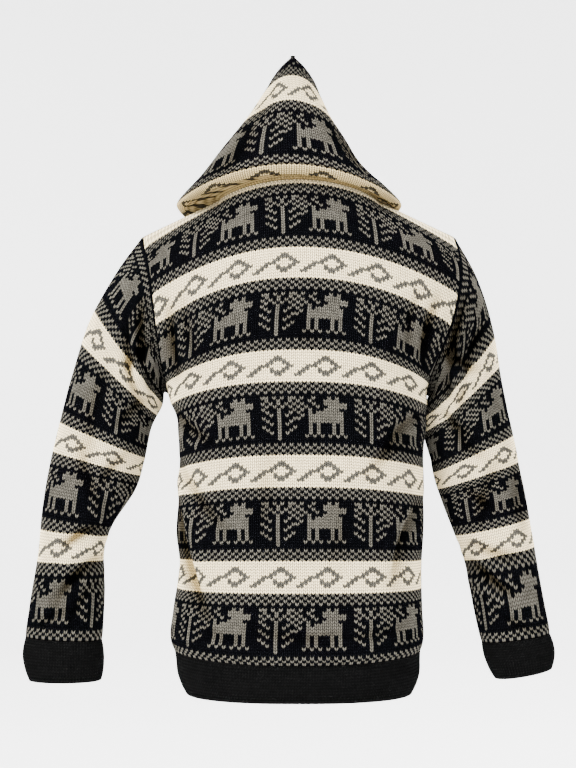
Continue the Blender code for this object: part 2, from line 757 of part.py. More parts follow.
def tape_points(side, hem, front):
    """Points of a zip tape's face, from its teeth side to its sewn side, level by level."""
    top = BODY_CELLS + ARMHOLE_CELLS - NECK_CELLS
    edge = np.vstack([hem[:, -1], front[1:top + 1, -1]])
    beside = np.vstack([hem[:, -2], front[1:top + 1, -2]])
    edge[-1] += (edge[-2] - edge[-1]) * ZIP_TOP_SHARE
    beside[-1] += (beside[-2] - beside[-1]) * ZIP_TOP_SHARE
    edge[0, 2] += ZIP_LIFT
    beside[0, 2] += ZIP_LIFT
    sewn = edge + (beside - edge) * (TAPE_UNDER / np.linalg.norm(beside - edge, axis=-1, keepdims=True))
    free = np.array(edge)
    free[:, 0] = side * (CHAIN_WIDTH / 2.0 + SEAM_GAP)
    return np.stack([free, edge, sewn], axis=1)


def make_tape(name, side, hem, front):
    """One zip tape, sewn behind the front's edge; returns its middle plane at the teeth."""
    face = tape_points(side, hem, front)
    behind = without(-side * grid_normals(face), 0)
    outer = face + behind * TAPE_GAP
    inner = outer + behind * TAPE_WALL
    new_object(name, wall_mesh(name, outer, inner), TAPE, 0.8)
    return (outer[:, 0] + inner[:, 0]) / 2.0


def make_chain(middle):
    """The closed teeth as one plain strip between the two tapes."""
    rise = np.gradient(middle, axis=0)
    rise /= np.linalg.norm(rise, axis=-1, keepdims=True)
    behind = np.column_stack([rise[:, 0] * 0.0, rise[:, 2], -rise[:, 1]])
    across = np.array([1.0, 0.0, 0.0]) * CHAIN_WIDTH / 2.0
    face = np.stack([middle - across, middle + across], axis=1)
    outer = face - behind[:, None, :] * CHAIN_WALL / 2.0
    inner = face + behind[:, None, :] * CHAIN_WALL / 2.0
    new_object("zip_chain", wall_mesh("zip_chain", outer, inner), METAL, 0.35, 1.0)


def outline_mesh(name, outline, axis, low, high):
    """Solid made by moving a closed outline along X (axis 0) or Z (axis 2), in millimetres."""
    form = bmesh.new()
    points = [(low, a, b) if axis == 0 else (a, b, low) for a, b in outline]
    face = form.faces.new([form.verts.new(Vector(point) * MM) for point in points])
    moved = bmesh.ops.extrude_face_region(form, geom=[face])
    travel = (high - low) * MM
    step = Vector((travel, 0.0, 0.0)) if axis == 0 else Vector((0.0, 0.0, travel))
    bmesh.ops.translate(form, vec=step, verts=[item for item in moved["geom"] if isinstance(item, bmesh.types.BMVert)])
    return finished_mesh(name, form)


def place_on_zip(item, point, tilt):
    """Set a piece on the zip's middle line, leaning with the front."""
    item.location = Vector(point) * MM
    item.rotation_euler = (tilt, 0.0, 0.0)


def make_slider(point, tilt):
    """Slider: two plates joined by a core, with a bridge over the front plate."""
    half, core, plate = SLIDER_WIDTH / 2.0, CORE_WIDTH / 2.0, SLIDER_PLATE
    slot = TAPE_WALL / 2.0 + SLOT_GAP
    body_outline = [
        (-half, -slot - plate), (half, -slot - plate), (half, -slot), (core, -slot),
        (core, slot), (half, slot), (half, slot + plate), (-half, slot + plate),
        (-half, slot), (-core, slot), (-core, -slot), (-half, -slot),
    ]
    body = new_object(
        "zip_slider", outline_mesh("zip_slider", body_outline, 2, 0.0, SLIDER_LENGTH), METAL, 0.3, 1.0
    )
    face = -slot - plate
    top = face - BRIDGE_HEIGHT - BRIDGE_WALL
    under = face - BRIDGE_HEIGHT
    low, high = BRIDGE_MARGIN, SLIDER_LENGTH - BRIDGE_MARGIN
    sunk = face + plate / 2.0
    bridge_outline = [
        (sunk, low), (top, low), (top, high), (sunk, high), (sunk, high - BRIDGE_WALL),
        (under, high - BRIDGE_WALL), (under, low + BRIDGE_WALL), (sunk, low + BRIDGE_WALL),
    ]
    half_bridge = BRIDGE_WIDTH / 2.0
    bridge = new_object(
        "bridge_shape", outline_mesh("bridge_shape", bridge_outline, 0, -half_bridge, half_bridge), METAL, 0.3, 1.0
    )
    for item in (body, bridge):
        place_on_zip(item, point, tilt)
    bridge.hide_render = True
    bridge.display_type = "WIRE"
    union = body.modifiers.new("bridge", "BOOLEAN")
    union.operation = "UNION"
    union.object = bridge


def make_pull_tab(point, tilt):
    """Pull tab: a plate with a window, its upper bar under the bridge and on the joint's axis."""
    bar = TAB_WALL / 2.0
    top, wide, low = TAB_TOP_WIDTH / 2.0, TAB_WIDTH / 2.0, -TAB_LENGTH
    window = TAB_WINDOW_WIDTH / 2.0
    outer = [
        (-top, bar), (top, bar), (top, -TAB_WINDOW_LENGTH), (wide, -TAB_WINDOW_LENGTH - TAB_FLARE),
        (wide, low + TAB_CORNER), (wide - TAB_CORNER, low), (TAB_CORNER - wide, low), (-wide, low + TAB_CORNER),
        (-wide, -TAB_WINDOW_LENGTH - TAB_FLARE), (-top, -TAB_WINDOW_LENGTH),
    ]
    tab = new_object("pull_tab", plate_mesh("pull_tab", outer, bar), METAL, 0.3, 1.0)
    hole = [(-window, -bar), (window, -bar), (window, -TAB_WINDOW_LENGTH), (-window, -TAB_WINDOW_LENGTH)]
    cutter = new_object("window_shape", plate_mesh("window_shape", hole, TAB_WALL), METAL, 0.3, 1.0)
    cutter.hide_render = True
    cutter.display_type = "WIRE"
    axis_place = Vector((0.0, -TAPE_WALL / 2.0 - SLOT_GAP - SLIDER_PLATE - BRIDGE_HEIGHT / 2.0, SLIDER_LENGTH / 2.0))
    turned = Matrix.Rotation(tilt, 3, "X") @ axis_place
    for item in (tab, cutter):
        place_on_zip(item, Vector(point) + turned, tilt)
    cut = tab.modifiers.new("window", "BOOLEAN")
    cut.operation = "DIFFERENCE"
    cut.object = cutter


def plate_mesh(name, outline, half_wall):
    """Flat plate facing the front, from its outline in X and Z."""
    form = bmesh.new()
    face = form.faces.new([form.verts.new(Vector((x, -half_wall, z)) * MM) for x, z in outline])
    moved = bmesh.ops.extrude_face_region(form, geom=[face])
    verts = [item for item in moved["geom"] if isinstance(item, bmesh.types.BMVert)]
    bmesh.ops.translate(form, vec=Vector((0.0, 2.0 * half_wall * MM, 0.0)), verts=verts)
    return finished_mesh(name, form)


def make_block(name, size, offset, point, tilt):
    """Small metal block on the zip, at an offset in the zip's own directions."""
    form = bmesh.new()
    shape = Matrix.Translation(Vector(offset) * MM) @ Matrix.Diagonal((*(Vector(size) * MM), 1.0))
    bmesh.ops.create_cube(form, size=1.0, matrix=shape)
    place_on_zip(new_object(name, finished_mesh(name, form), METAL, 0.35, 1.0), point, tilt)


def tilt_of(rise):
    """Lean of a stretch of the zip, about X."""
    return math.atan2(-rise[1], rise[2])


def make_zip(hems, fronts):
    """Tapes, chain, slider, stops and retaining box."""
    left = make_tape("zip_tape_left", 1, hems[1], fronts[1])
    right = make_tape("zip_tape_right", -1, hems[-1], fronts[-1])
    middle = (left + right) / 2.0
    middle[:, 0] = 0.0
    top_cell = middle[-1] - middle[-2]
    top_unit = top_cell / np.linalg.norm(top_cell)
    low_cell = middle[1] - middle[0]
    low_unit = low_cell / np.linalg.norm(low_cell)
    box_place = np.array(middle[0])
    slider_place = middle[-1] - top_unit * (SLIDER_LENGTH + STOP_HEIGHT + 2.0 * SEAM_GAP)
    stop_place = slider_place + top_unit * (SLIDER_LENGTH + SEAM_GAP + STOP_HEIGHT / 2.0)
    middle[0] += low_unit * (BOX_HEIGHT + SEAM_GAP)
    middle[-1] = slider_place - top_unit * SEAM_GAP
    make_chain(middle)
    tilt = tilt_of(top_cell)
    make_slider(slider_place, tilt)
    make_pull_tab(slider_place, tilt)
    stop_size = (STOP_WIDTH, CHAIN_WALL, STOP_HEIGHT)
    stop_side = CHAIN_WIDTH / 2.0 - STOP_WIDTH / 2.0
    make_block("zip_stop_left", stop_size, (stop_side, 0.0, 0.0), stop_place, tilt)
    make_block("zip_stop_right", stop_size, (-stop_side, 0.0, 0.0), stop_place, tilt)
    box_size = (CHAIN_WIDTH, BOX_WALL, BOX_HEIGHT)
    make_block("zip_box", box_size, (0.0, 0.0, BOX_HEIGHT / 2.0), box_place, tilt_of(low_cell))



def clear_scene():
    """Remove the objects of the start-up scene."""
    for item in list(bpy.data.objects):
        bpy.data.objects.remove(item, do_unlink=True)


def make_jacket():
    """All the pieces."""
    side_rows, centre_rows = panel_levels()
    back = back_grid(side_rows)
    back = folded(back, grid_normals(back), BACK_FOLDS)
    fronts = {side: front_grid(side, side_rows, centre_rows) for side in (1, -1)}
    for side, column in ((1, BACK_CELLS // 4), (-1, -BACK_CELLS // 4 - 1)):
        back[-1, column] = np.array(SIDE_NECK) * (side, 1.0, 1.0)
        fronts[side][-1, -1] = np.array(SIDE_NECK) * (side, -1.0, 1.0)
    sleeves = {side: sleeve_grid(side) for side in (1, -1)}
    armholes = {side: armhole_directions(side, back, fronts[side], *sleeves[side]) for side in (1, -1)}
    back_inner = make_back(back, armholes)
    left_inner = make_front("front_left", 1, fronts[1], armholes)
    right_inner = make_front("front_right", -1, fronts[-1], armholes)
    hems = make_hem()
    for name, side in (("left", 1), ("right", -1)):
        make_sleeve("sleeve_" + name, side, *sleeves[side], armholes[side])
        make_cuff("cuff_" + name, side)
    make_hood((back, back_inner), (fronts[1], left_inner), (fronts[-1], right_inner))
    make_zip(hems, {1: left_inner, -1: right_inner})


clear_scene()
make_jacket()
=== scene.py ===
import math

import bpy
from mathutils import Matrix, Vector
import numpy as np


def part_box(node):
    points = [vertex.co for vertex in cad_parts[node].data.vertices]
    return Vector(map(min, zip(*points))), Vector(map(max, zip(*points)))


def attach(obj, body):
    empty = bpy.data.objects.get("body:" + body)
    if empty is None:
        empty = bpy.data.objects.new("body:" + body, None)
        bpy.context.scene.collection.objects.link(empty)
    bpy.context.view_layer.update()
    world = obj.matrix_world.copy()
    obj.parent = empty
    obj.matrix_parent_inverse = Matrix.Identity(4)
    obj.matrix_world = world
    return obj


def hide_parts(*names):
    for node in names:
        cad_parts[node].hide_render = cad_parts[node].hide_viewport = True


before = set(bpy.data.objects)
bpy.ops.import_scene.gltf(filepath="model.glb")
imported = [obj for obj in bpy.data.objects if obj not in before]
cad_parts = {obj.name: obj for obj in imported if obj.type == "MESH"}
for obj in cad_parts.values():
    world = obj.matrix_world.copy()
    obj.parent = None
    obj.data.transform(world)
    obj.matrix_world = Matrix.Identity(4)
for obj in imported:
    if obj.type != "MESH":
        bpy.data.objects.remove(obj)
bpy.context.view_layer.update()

MM = 0.001
TINY = 1e-9

# Colours of the yarns, the tape, the thread and the metal
CHARCOAL = (0.0023, 0.0024, 0.0031)
GREY = (0.084, 0.078, 0.064)
CREAM = (0.965, 0.795, 0.475)
BAND = (0.0046, 0.0047, 0.0046)
YARNS = np.array([CHARCOAL, GREY, CREAM, BAND])
YARN_UNEVEN = np.array([0.30, 0.34, 0.10, 0.30])
TAPE_BLACK = (0.016, 0.016, 0.019)
THREAD_BLACK = (0.03, 0.03, 0.034)
NICKEL_DARK = (0.10, 0.098, 0.093, 1.0)
NICKEL_LIGHT = (0.19, 0.185, 0.175, 1.0)

# Cloth, in millimetres: its wall, how far a stitch's legs stand out, and its seams
WALL = 3.4
RIDGE = 0.65
BAND_RIDGE = 0.55
STITCH_WIDTH = 5.05
FRONT_EDGE = 6.0
SEAM_GAP = 0.3
TUBE_SEAM = 0.15
# Seams draw the cloth in over this width, and thin it to a share near pieces it meets
GROOVE_WIDTH = 5.0
TAPER_WIDTH = 12.0
THINNEST_SHARE = 0.35
# Between its legs a stitch lies this share of its ridge below the cloth
VALLEY_SHARE = 0.35
# Creases run out over these widths at a seam and the zip, and over these rows at the armpit
SEAM_FADE = 9.0
ZIP_FADE = 25.0
ARMPIT_FADE_ROWS = 8.0
# How far a stitch's legs slant, in rows
STITCH_SLANT = 0.72
# Painted shade: the share of its yarn colour that the inside keeps, and the fold depth and the share of
# darkening at its darkest for the yarn colour painted darker in crease troughs
INSIDE_PAINTED_SHADE = 0.7
FOLD_DEPTH = 14.0
FOLD_PAINTED_SHADE = 0.66
# Painted shadow: how much of its yarn colour each of the hood's rows keeps where it lies in the shadow of its
# fold
HOOD_PAINTED_SHADOW = ((0.0, 4.0, 9.0, 11.0, 12.0), (0.34, 0.44, 0.56, 0.66, 1.0))

# Points along the lines that the cloth is made from
ROW_POINTS = 181
BACK_POINTS = 193
FRONT_POINTS = 121
TUBE_POINTS = 161
NECK_POINTS = 41
HOOD_POINTS = 241

# Knitting rows of the body, counted from the hem band
HEM_ROWS = 13
ARMPIT_ROW = 101
SHOULDER_ROW = 170
NECK_FRONT_ROW = 147
BACK_STITCHES = 96
FRONT_STITCHES = 48
HEM_STITCHES = 120
CUFF_ROWS = 14
CUFF_STITCHES = 72
HOOD_ROWS = 58
HOOD_TIP_ROW = 51
ROW_HEIGHT = 3.72

# Rows of the pattern: its repeat, and where each part of a repeat starts
PERIOD = 36
ANIMAL_ROW = 4
CHECK_ROW = 20
CREAM_ROW = 24
SCROLL_ROW = 26

# Torso: height, half widths to the left and right, reach to the back and front
TORSO = np.array([
    (-638, 150, 152, 118, 112),
    (-612, 160, 161, 124, 118),
    (-588, 163, 162, 125, 119),
    (-568, 169, 166, 131, 125),
    (-530, 166, 165, 129, 124),
    (-475, 159, 164, 125, 120),
    (-425, 165, 167, 124, 120),
    (-380, 163, 168, 123, 120),
    (-300, 160, 167, 124, 122),
    (-242, 174, 171, 122, 124),
], float)
HEM_BOTTOM = -638.0
HEM_TOP_MIDDLE = -589.0
HEM_TOP_SIDE = -581.0
ARMPIT_MIDDLE = -214.0
ARMPIT_SIDE = -242.0
SECTION_POWER = 2.5

# Armhole seam: share of its rise, distance out on the left and right, reach, height
ARMHOLE = np.array([
    (0.00, 174, 171, 0.15, -242),
    (0.24, 180, 180, 47, -206),
    (0.50, 188, 203, 65, -142),
    (0.76, 197, 214, 50, -77),
    (1.00, 212, 213, 0.15, -29),
], float)
SHOULDER_TIP = (212.0, 0.15, -29.0)
SIDE_NECK = (106.0, 0.15, 22.0)
BACK_NECK = (0.0, 52.0, 41.0)
FRONT_NECK = (0.0, 52.0, 26.0)

# Chest above the armpits: share of the rise, reach of the back and the front, roundness
CHEST = np.array([
    (0.00, 122.3, 124.2, 2.50),
    (0.25, 123, 124, 2.45),
    (0.50, 118, 116, 2.25),
    (0.70, 103, 101, 1.80),
    (0.85, 83, 82, 1.30),
    (1.00, 54, 54, 0.80),
], float)
TOP_BLEND = 0.72

# Sleeve sections: share of the length, outer edge, inner edge, centre and reach in depth.
# The edges are distances out and heights
LEFT_SLEEVE = np.array([
    (0.10, 243, -72, 181, -240, -1, 66),
    (0.20, 277, -133, 184, -256, -2, 63),
    (0.32, 304, -215, 199, -287, -3, 60),
    (0.44, 323, -290, 209, -334, -3, 57),
    (0.54, 336, -350, 221, -372, -2, 54),
    (0.63, 344, -405, 252, -420, -3, 50),
    (0.70, 348, -450, 261, -451, -6, 49),
    (0.80, 358, -505, 262, -508, -14, 47),
    (0.92, 369, -568, 266, -573, -25, 43),
], float)
RIGHT_SLEEVE = np.array([
    (0.10, 243, -85, 178, -246, -1, 66),
    (0.20, 262, -150, 176, -268, -2, 63),
    (0.32, 275, -228, 178, -306, -3, 60),
    (0.44, 291, -305, 184, -352, -3, 57),
    (0.54, 304, -370, 198, -395, -2, 54),
    (0.63, 314, -428, 219, -450, -3, 50),
    (0.70, 320, -465, 228, -482, -6, 49),
    (0.80, 330, -515, 238, -530, -14, 47),
    (0.92, 341, -563, 249, -576, -25, 43),
], float)
LEFT_CUFF = np.array([
    (0.00, 369, -568.6, 266, -573.6, -25, 43),
    (0.50, 373, -597, 264, -601, -30, 42),
    (1.00, 366, -629, 267, -629, -35, 41),
], float)
RIGHT_CUFF = np.array([
    (0.00, 341, -563.6, 249, -576.6, -25, 43),
    (0.50, 348, -588, 255, -601, -30, 42),
    (1.00, 346, -612, 267, -627, -35, 41),
], float)
ARMHOLE_BLEND = 0.24
TUBE_POWER = 2.2

# Sleeve rows from the cuff up, and where each lies along the sleeve
SLEEVE_ROWS = (0, 24, 35, 60, 71, 96, 107, 133)
LEFT_ROW_SHARES = (0.92, 0.73, 0.66, 0.49, 0.425, 0.262, 0.195, 0.0)
RIGHT_ROW_SHARES = (0.92, 0.665, 0.60, 0.485, 0.43, 0.285, 0.225, 0.0)

# Hood rows: row, half width, shift, then depth and height of the sides and of the middle
# back, and half width, depth and height of the front edge
HOOD = np.array([
    (6, 142, 12, -2, 12, 74, 43, 32, -104, -46),
    (11, 153, 12, -6, 15, 85, 54, 56, -118, -22),
    (20, 123, 14, -12, 49, 83, 84, 70, -126, 14),
    (30, 89, 13, -24, 96, 72, 121, 74, -134, 46),
    (40, 64, 10, -40, 132, 59, 157, 60, -142, 74),
    (50, 46, 8, -50, 158, 45, 190, 44, -146, 96),
    (55, 31, 7, -56, 172, 38, 206, 27, -150, 108),
    (58, 0, 7, -60, 177, 32, 213, 0, -152, 112),
], float)
HOOD_BLEND_ROW = 6.0
HOOD_LIFT = 6.0
NECK_RISE_LEAN = 0.004

# Charts, read from their top row down. A grazing animal and a leafy sprig
ANIMAL_CHART = (
    ".#..#...#.#....##.#.#.##",
    "#..#...####.....#..#..#.",
    ".#..#..######..#.#.#.#.#",
    "#.#..#..#####...#.#.#.#.",
    ".#.#...####....#...#...#",
    "#..#.#######....#..#..#.",
    ".#.#########.....#.#.#..",
    "#..#########...#...#...#",
    "...#########....#..#..#.",
    "...#.#...#.#.....#.#.#..",
    "...#.#...#.#...#...#...#",
    "...#.#...#.#....#..#..#.",
    "...#.#...#.#.....#.#.#..",
    "..#.#.#.#.#.#......#....",
    "...................#....",
)
# A hooked scroll
SCROLL_CHART = (
    ".......##...",
    "......####..",
    ".....##..##.",
    "...###....##",
    "..##..#..##.",
    ".##...####..",
    "##.....##...",
)

# Zip, in millimetres: how far it lies behind the cloth, its tapes and its teeth
ZIP_DEPTH = 5.05
TAPE_EDGES = (3.1, 19.0)
TAPE_CURVE = 0.0009
TOOTH_SIZE = (4.2, 2.4, 1.35)
TOOTH_BEVEL = 0.28
TOOTH_PITCH = 1.62
SEWING_LINE = 7.4
# Rings of a sewn stitch: half length in rows, height above the cloth and radius
SEWN_RINGS = ((-0.34, 0.15, 0.16), (0.0, 0.75, 0.36), (0.34, 0.15, 0.16))


def through(places, values, at):
    """Smooth curve through a table's column, read at the given places."""
    at = np.clip(np.asarray(at, float), places[0], places[-1])
    slopes = np.gradient(values, places)
    index = np.clip(np.searchsorted(places, at, side="right") - 1, 0, len(places) - 2)
    step = places[index + 1] - places[index]
    t = (at - places[index]) / step
    start = (2 * t ** 3 - 3 * t ** 2 + 1) * values[index]
    start_slope = (t ** 3 - 2 * t ** 2 + t) * slopes[index] * step
    end = (3 * t ** 2 - 2 * t ** 3) * values[index + 1]
    end_slope = (t ** 3 - t ** 2) * slopes[index + 1] * step
    return start + start_slope + end + end_slope


def ease(t):
    """Soft step from 0 to 1."""
    t = np.clip(t, 0.0, 1.0)
    return t * t * (3.0 - 2.0 * t)


def lengths_along(points):
    """Length from the first point to each point of a line."""
    steps = np.linalg.norm(np.diff(points, axis=0), axis=1)
    return np.concatenate([[0.0], np.cumsum(steps)])


def read_along(points, places, at):
    """Points of a line at the given places along it."""
    return np.column_stack([np.interp(at, places, points[:, axis]) for axis in range(3)])


def even(points, count):
    """A number of points at even lengths along a dense line."""
    length = lengths_along(points)
    return read_along(points, length, length[-1] * np.linspace(0.0, 1.0, count))


def ring_half(face, middle, side):
    """Half a ring of the torso, at the given heights of its middle and sides."""
    turn = np.linspace(0.0, math.pi, ROW_POINTS)
    height = side + (middle - side) * np.sin(turn) ** 2
    left, right, back, front = (through(TORSO[:, 0], TORSO[:, column], height) for column in range(1, 5))
    across = np.abs(np.cos(turn)) ** (2.0 / SECTION_POWER) * np.sign(np.cos(turn))
    reach = np.abs(np.sin(turn)) ** (2.0 / SECTION_POWER)
    x = across * np.where(across > 0.0, left, right)
    y = face * (reach * (back if face > 0 else front) + SEAM_GAP / 2.0)
    return np.column_stack([x, y, height])


def section_row(face, row):
    """Row of the torso below the armpits."""
    if row < 0.0:
        share = -row / HEM_ROWS
        middle = HEM_TOP_MIDDLE + share * (HEM_BOTTOM - HEM_TOP_MIDDLE)
        side = HEM_TOP_SIDE + share * (HEM_BOTTOM - HEM_TOP_SIDE)
    else:
        share = row / ARMPIT_ROW
        middle = HEM_TOP_MIDDLE + share * (ARMPIT_MIDDLE - HEM_TOP_MIDDLE)
        side = HEM_TOP_SIDE + share * (ARMPIT_SIDE - HEM_TOP_SIDE)
    return ring_half(face, middle, side)


def armhole_edge(face, side, share):
    """Point of the armhole seam at a share of its rise."""
    column = 1 if side > 0 else 2
    x = side * through(ARMHOLE[:, 0], ARMHOLE[:, column], share)
    y = face * through(ARMHOLE[:, 0], ARMHOLE[:, 3], share)
    z = through(ARMHOLE[:, 0], ARMHOLE[:, 4], share)
    return np.array([float(x), float(y), float(z)])


def shoulder_line(face):
    """Top line of a panel, from the left shoulder tip over the neck to the right one."""
    middle = BACK_NECK if face > 0 else FRONT_NECK
    turn = np.linspace(0.0, math.pi / 2.0, ROW_POINTS // 3)
    neck = np.column_stack([
        SIDE_NECK[0] * np.cos(turn),
        SIDE_NECK[1] + (middle[1] - SIDE_NECK[1]) * np.sin(turn),
        SIDE_NECK[2] + (middle[2] - SIDE_NECK[2]) * np.sin(turn) ** 2,
    ])
    slope = np.linspace(SHOULDER_TIP, SIDE_NECK, ROW_POINTS // 4)[:-1]
    left = np.vstack([slope, neck])
    left[:, 1] *= face
    right = left[::-1][1:] * (-1.0, 1.0, 1.0)
    return even(np.vstack([left, right]), ROW_POINTS)


def half_row(face, side, share, middle, middle_reach, power):
    """Half of an upper row, from its armhole seam to the wearer's middle."""
    edge = armhole_edge(face, side, share)
    start = math.asin(min(abs(edge[1]) / middle_reach, 1.0) ** (power / 2.0))
    turn = np.linspace(start, math.pi / 2.0, ROW_POINTS // 2 + 1)
    across = np.cos(turn) ** (2.0 / power) / math.cos(start) ** (2.0 / power)
    reach = middle_reach * np.sin(turn) ** (2.0 / power)
    low = 1.0 - np.cos(turn) ** 2 / math.cos(start) ** 2
    high = 1.0 - across ** 2
    height = edge[2] + (middle - edge[2]) * ((1.0 - share) * low + share * high)
    return np.column_stack([edge[0] * across, face * reach, height])


def upper_row(face, row):
    """Row of a panel above the armpits, between its two armhole seams."""
    share = (row - ARMPIT_ROW) / (SHOULDER_ROW - ARMPIT_ROW)
    middle_reach = float(through(CHEST[:, 0], CHEST[:, 1 if face > 0 else 2], share))
    power = float(through(CHEST[:, 0], CHEST[:, 3], share))
    middle = ARMPIT_MIDDLE + share * ((BACK_NECK if face > 0 else FRONT_NECK)[2] - ARMPIT_MIDDLE)
    left = half_row(face, 1, share, middle, middle_reach, power)
    right = half_row(face, -1, share, middle, middle_reach, power)
    points = even(np.vstack([left, right[::-1][1:]]), ROW_POINTS)
    top = ease((share - TOP_BLEND) / (1.0 - TOP_BLEND))
    ends = points[0], points[-1]
    points = points + top * (shoulder_line(face) - points)
    across = np.linspace(0.0, 1.0, ROW_POINTS)
    points += ((1.0 - across) ** 6)[:, None] * (ends[0] - points[0])
    points += (across ** 6)[:, None] * (ends[1] - points[-1])
    return points


def panel_row(face, row):
    """Whole row of the back (face 1) or of both fronts (face -1), from the left to the right."""
    return section_row(face, row) if row <= ARMPIT_ROW else upper_row(face, row)


class Cloth:
    """A curved piece of cloth, as rows of points in millimetres."""

    def __init__(self, rows, lines, middles, outside):
        self.rows = np.asarray(rows, float)
        self.points = np.array(lines)
        self.low = np.array([-length for length, _ in middles])
        self.high = np.array([length for _, length in middles])
        normals = np.cross(np.gradient(self.points, axis=1), np.gradient(self.points, axis=0))
        self.outside_sign = outside
        self.normals = outside * normals / np.maximum(np.linalg.norm(normals, axis=-1, keepdims=True), TINY)

    def spans(self, row):
        """The two ends of a row, measured from its middle."""
        return np.interp(row, self.rows, self.low), np.interp(row, self.rows, self.high)

    def read(self, field, place, row):
        """Values of a field at places along rows."""
        low, high = self.spans(row)
        share = np.clip((place - low) / (high - low), 0.0, 1.0) * (field.shape[1] - 1)
        level = np.interp(row, self.rows, np.arange(len(self.rows)))
        column = np.minimum(share.astype(int), field.shape[1] - 2)
        line = np.minimum(level.astype(int), field.shape[0] - 2)
        a = (share - column)[..., None]
        b = (level - line)[..., None]
        lower = field[line, column] * (1 - a) + field[line, column + 1] * a
        upper = field[line + 1, column] * (1 - a) + field[line + 1, column + 1] * a
        return lower * (1 - b) + upper * b


def panel_cloth(face, part, rows):
    """The back (part 0), or the half of the fronts to the left (1) or right (-1)."""
    lines, ends = [], []
    for row in rows:
        points = panel_row(face, row)[::-1]
        length = lengths_along(points)
        middle = float(np.interp(0.0, points[:, 0], length))
        sides = (middle, length[-1] - middle)
        if part == 0:
            points = even(points, BACK_POINTS)
        else:
            at = np.linspace(middle, length[-1] if part > 0 else 0.0, FRONT_POINTS)
            points = read_along(points, length, at)[::part]
            sides = (0.0, sides[1]) if part > 0 else (sides[0], 0.0)
        lines.append(points)
        ends.append(sides)
    return Cloth(rows, lines, ends, -face)


def tube_ring(table, side, share, turns):
    """Ring of a sleeve or cuff from its table, starting at the inner edge."""
    columns = [float(through(table[:, 0], table[:, column], share)) for column in range(1, 7)]
    outer_x, outer_z, inner_x, inner_z, depth, reach = columns
    middle = np.array([side * (outer_x + inner_x) / 2.0, depth, (outer_z + inner_z) / 2.0])
    half = np.array([side * (outer_x - inner_x) / 2.0, 0.0, (outer_z - inner_z) / 2.0])
    angle = 2.0 * math.pi * np.asarray(turns)
    wide = -np.sign(np.cos(angle)) * np.abs(np.cos(angle)) ** (2.0 / TUBE_POWER)
    deep = np.sign(np.sin(angle)) * np.abs(np.sin(angle)) ** (2.0 / TUBE_POWER)
    return middle + wide[:, None] * half + deep[:, None] * np.array([0.0, reach, 0.0])


def armhole_loop(side, shares):
    """Armhole seam as a loop: from the armpit up the back and down the front."""
    return np.array([
        armhole_edge(1 if share <= 0.5 else -1, side, 2.0 * min(share, 1.0 - share)) for share in shares
    ])


def tube_cloth(side, rings):
    """Cloth of a sleeve or cuff from its rings, one for each row."""
    lines = [even(ring if side > 0 else ring[::-1], TUBE_POINTS) for ring in rings]
    halves = [lengths_along(line)[-1] / 2.0 for line in lines]
    return Cloth(np.arange(len(lines)), lines, list(zip(halves, halves)), -1)


def sleeve_cloth(side):
    """A sleeve, from its cuff seam up to its armhole seam."""
    table = LEFT_SLEEVE if side > 0 else RIGHT_SLEEVE
    column = 1 if side > 0 else 2
    low, high = ARMHOLE[0], ARMHOLE[-1]
    start = (0.0, high[column], high[4], low[column], low[4], 0.0, ARMHOLE[2, 3])
    table = np.vstack([start, table])
    turns = np.linspace(0.0, 1.0, TUBE_POINTS)
    to_seam = armhole_loop(side, turns) - tube_ring(table, side, 0.0, turns)
    row_shares = LEFT_ROW_SHARES if side > 0 else RIGHT_ROW_SHARES
    rings = []
    for share in np.interp(np.arange(0, SLEEVE_ROWS[-1] + 1), SLEEVE_ROWS, row_shares):
        weight = 1.0 - ease(share / ARMHOLE_BLEND)
        rings.append(tube_ring(table, side, share, turns) + weight * to_seam)
    return tube_cloth(side, rings)


def cuff_cloth(side):
    """A cuff, from its lower edge up."""
    table = LEFT_CUFF if side > 0 else RIGHT_CUFF
    turns = np.linspace(0.0, 1.0, TUBE_POINTS)
    rows = np.arange(0, CUFF_ROWS + 1)
    return tube_cloth(side, [tube_ring(table, side, 1.0 - row / CUFF_ROWS, turns) for row in rows])


def neck_line():
    """Neck seam from the left front edge round the back to the right, and each point's place."""
    halves = {}
    for side in (1, -1):
        points = []
        for angle in np.linspace(0.0, math.pi / 2.0, NECK_POINTS):
            row = SHOULDER_ROW - (SHOULDER_ROW - NECK_FRONT_ROW) * math.cos(angle)
            line = panel_row(-1, row)[::-1]
            length = lengths_along(line)
            length -= np.interp(0.0, line[:, 0], length)
            points.append(read_along(line, length, side * neck_cut(row))[0])
        points[-1] = np.array(SIDE_NECK) * (side, -1.0, 1.0)
        halves[side] = np.array(points)
    back = shoulder_line(1)
    back = back[np.abs(back[:, 0]) < SIDE_NECK[0] - 2.0]
    corner = np.array(SIDE_NECK)
    line = np.vstack([halves[1], [corner], back, [corner * (-1.0, 1.0, 1.0)], halves[-1][::-1]])
    length = lengths_along(line)
    marks = [0, NECK_POINTS - 1, len(line) // 2, len(line) - NECK_POINTS, len(line) - 1]
    places = np.interp(length, length[marks], [-1.0, -0.5, 0.0, 0.5, 1.0])
    fine = np.linspace(-1.0, 1.0, HOOD_POINTS)
    return read_along(line, places, fine), fine


def side_neck_length():
    """Length from the middle of the front's top line to the side of the neck."""
    points = shoulder_line(-1)
    length = lengths_along(points)
    length = np.interp(0.0, -points[:, 0], length) - length
    return float(np.interp(-SIDE_NECK[0], -points[:, 0], length))


def neck_cut(row):
    """Where the front neckline crosses a row, measured from the middle."""
    share = np.clip((SHOULDER_ROW - row) / (SHOULDER_ROW - NECK_FRONT_ROW), 0.0, 1.0)
    return FRONT_EDGE + (NECK_LENGTH - FRONT_EDGE) * np.sqrt(1.0 - share ** 2)


def neck_row(place):
    """Row at which the front neckline crosses a distance from the middle."""
    share = np.clip((place - FRONT_EDGE) / (NECK_LENGTH - FRONT_EDGE), 0.0, 1.0)
    return SHOULDER_ROW - (SHOULDER_ROW - NECK_FRONT_ROW) * np.sqrt(1.0 - share ** 2)


NECK_LENGTH = side_neck_length()


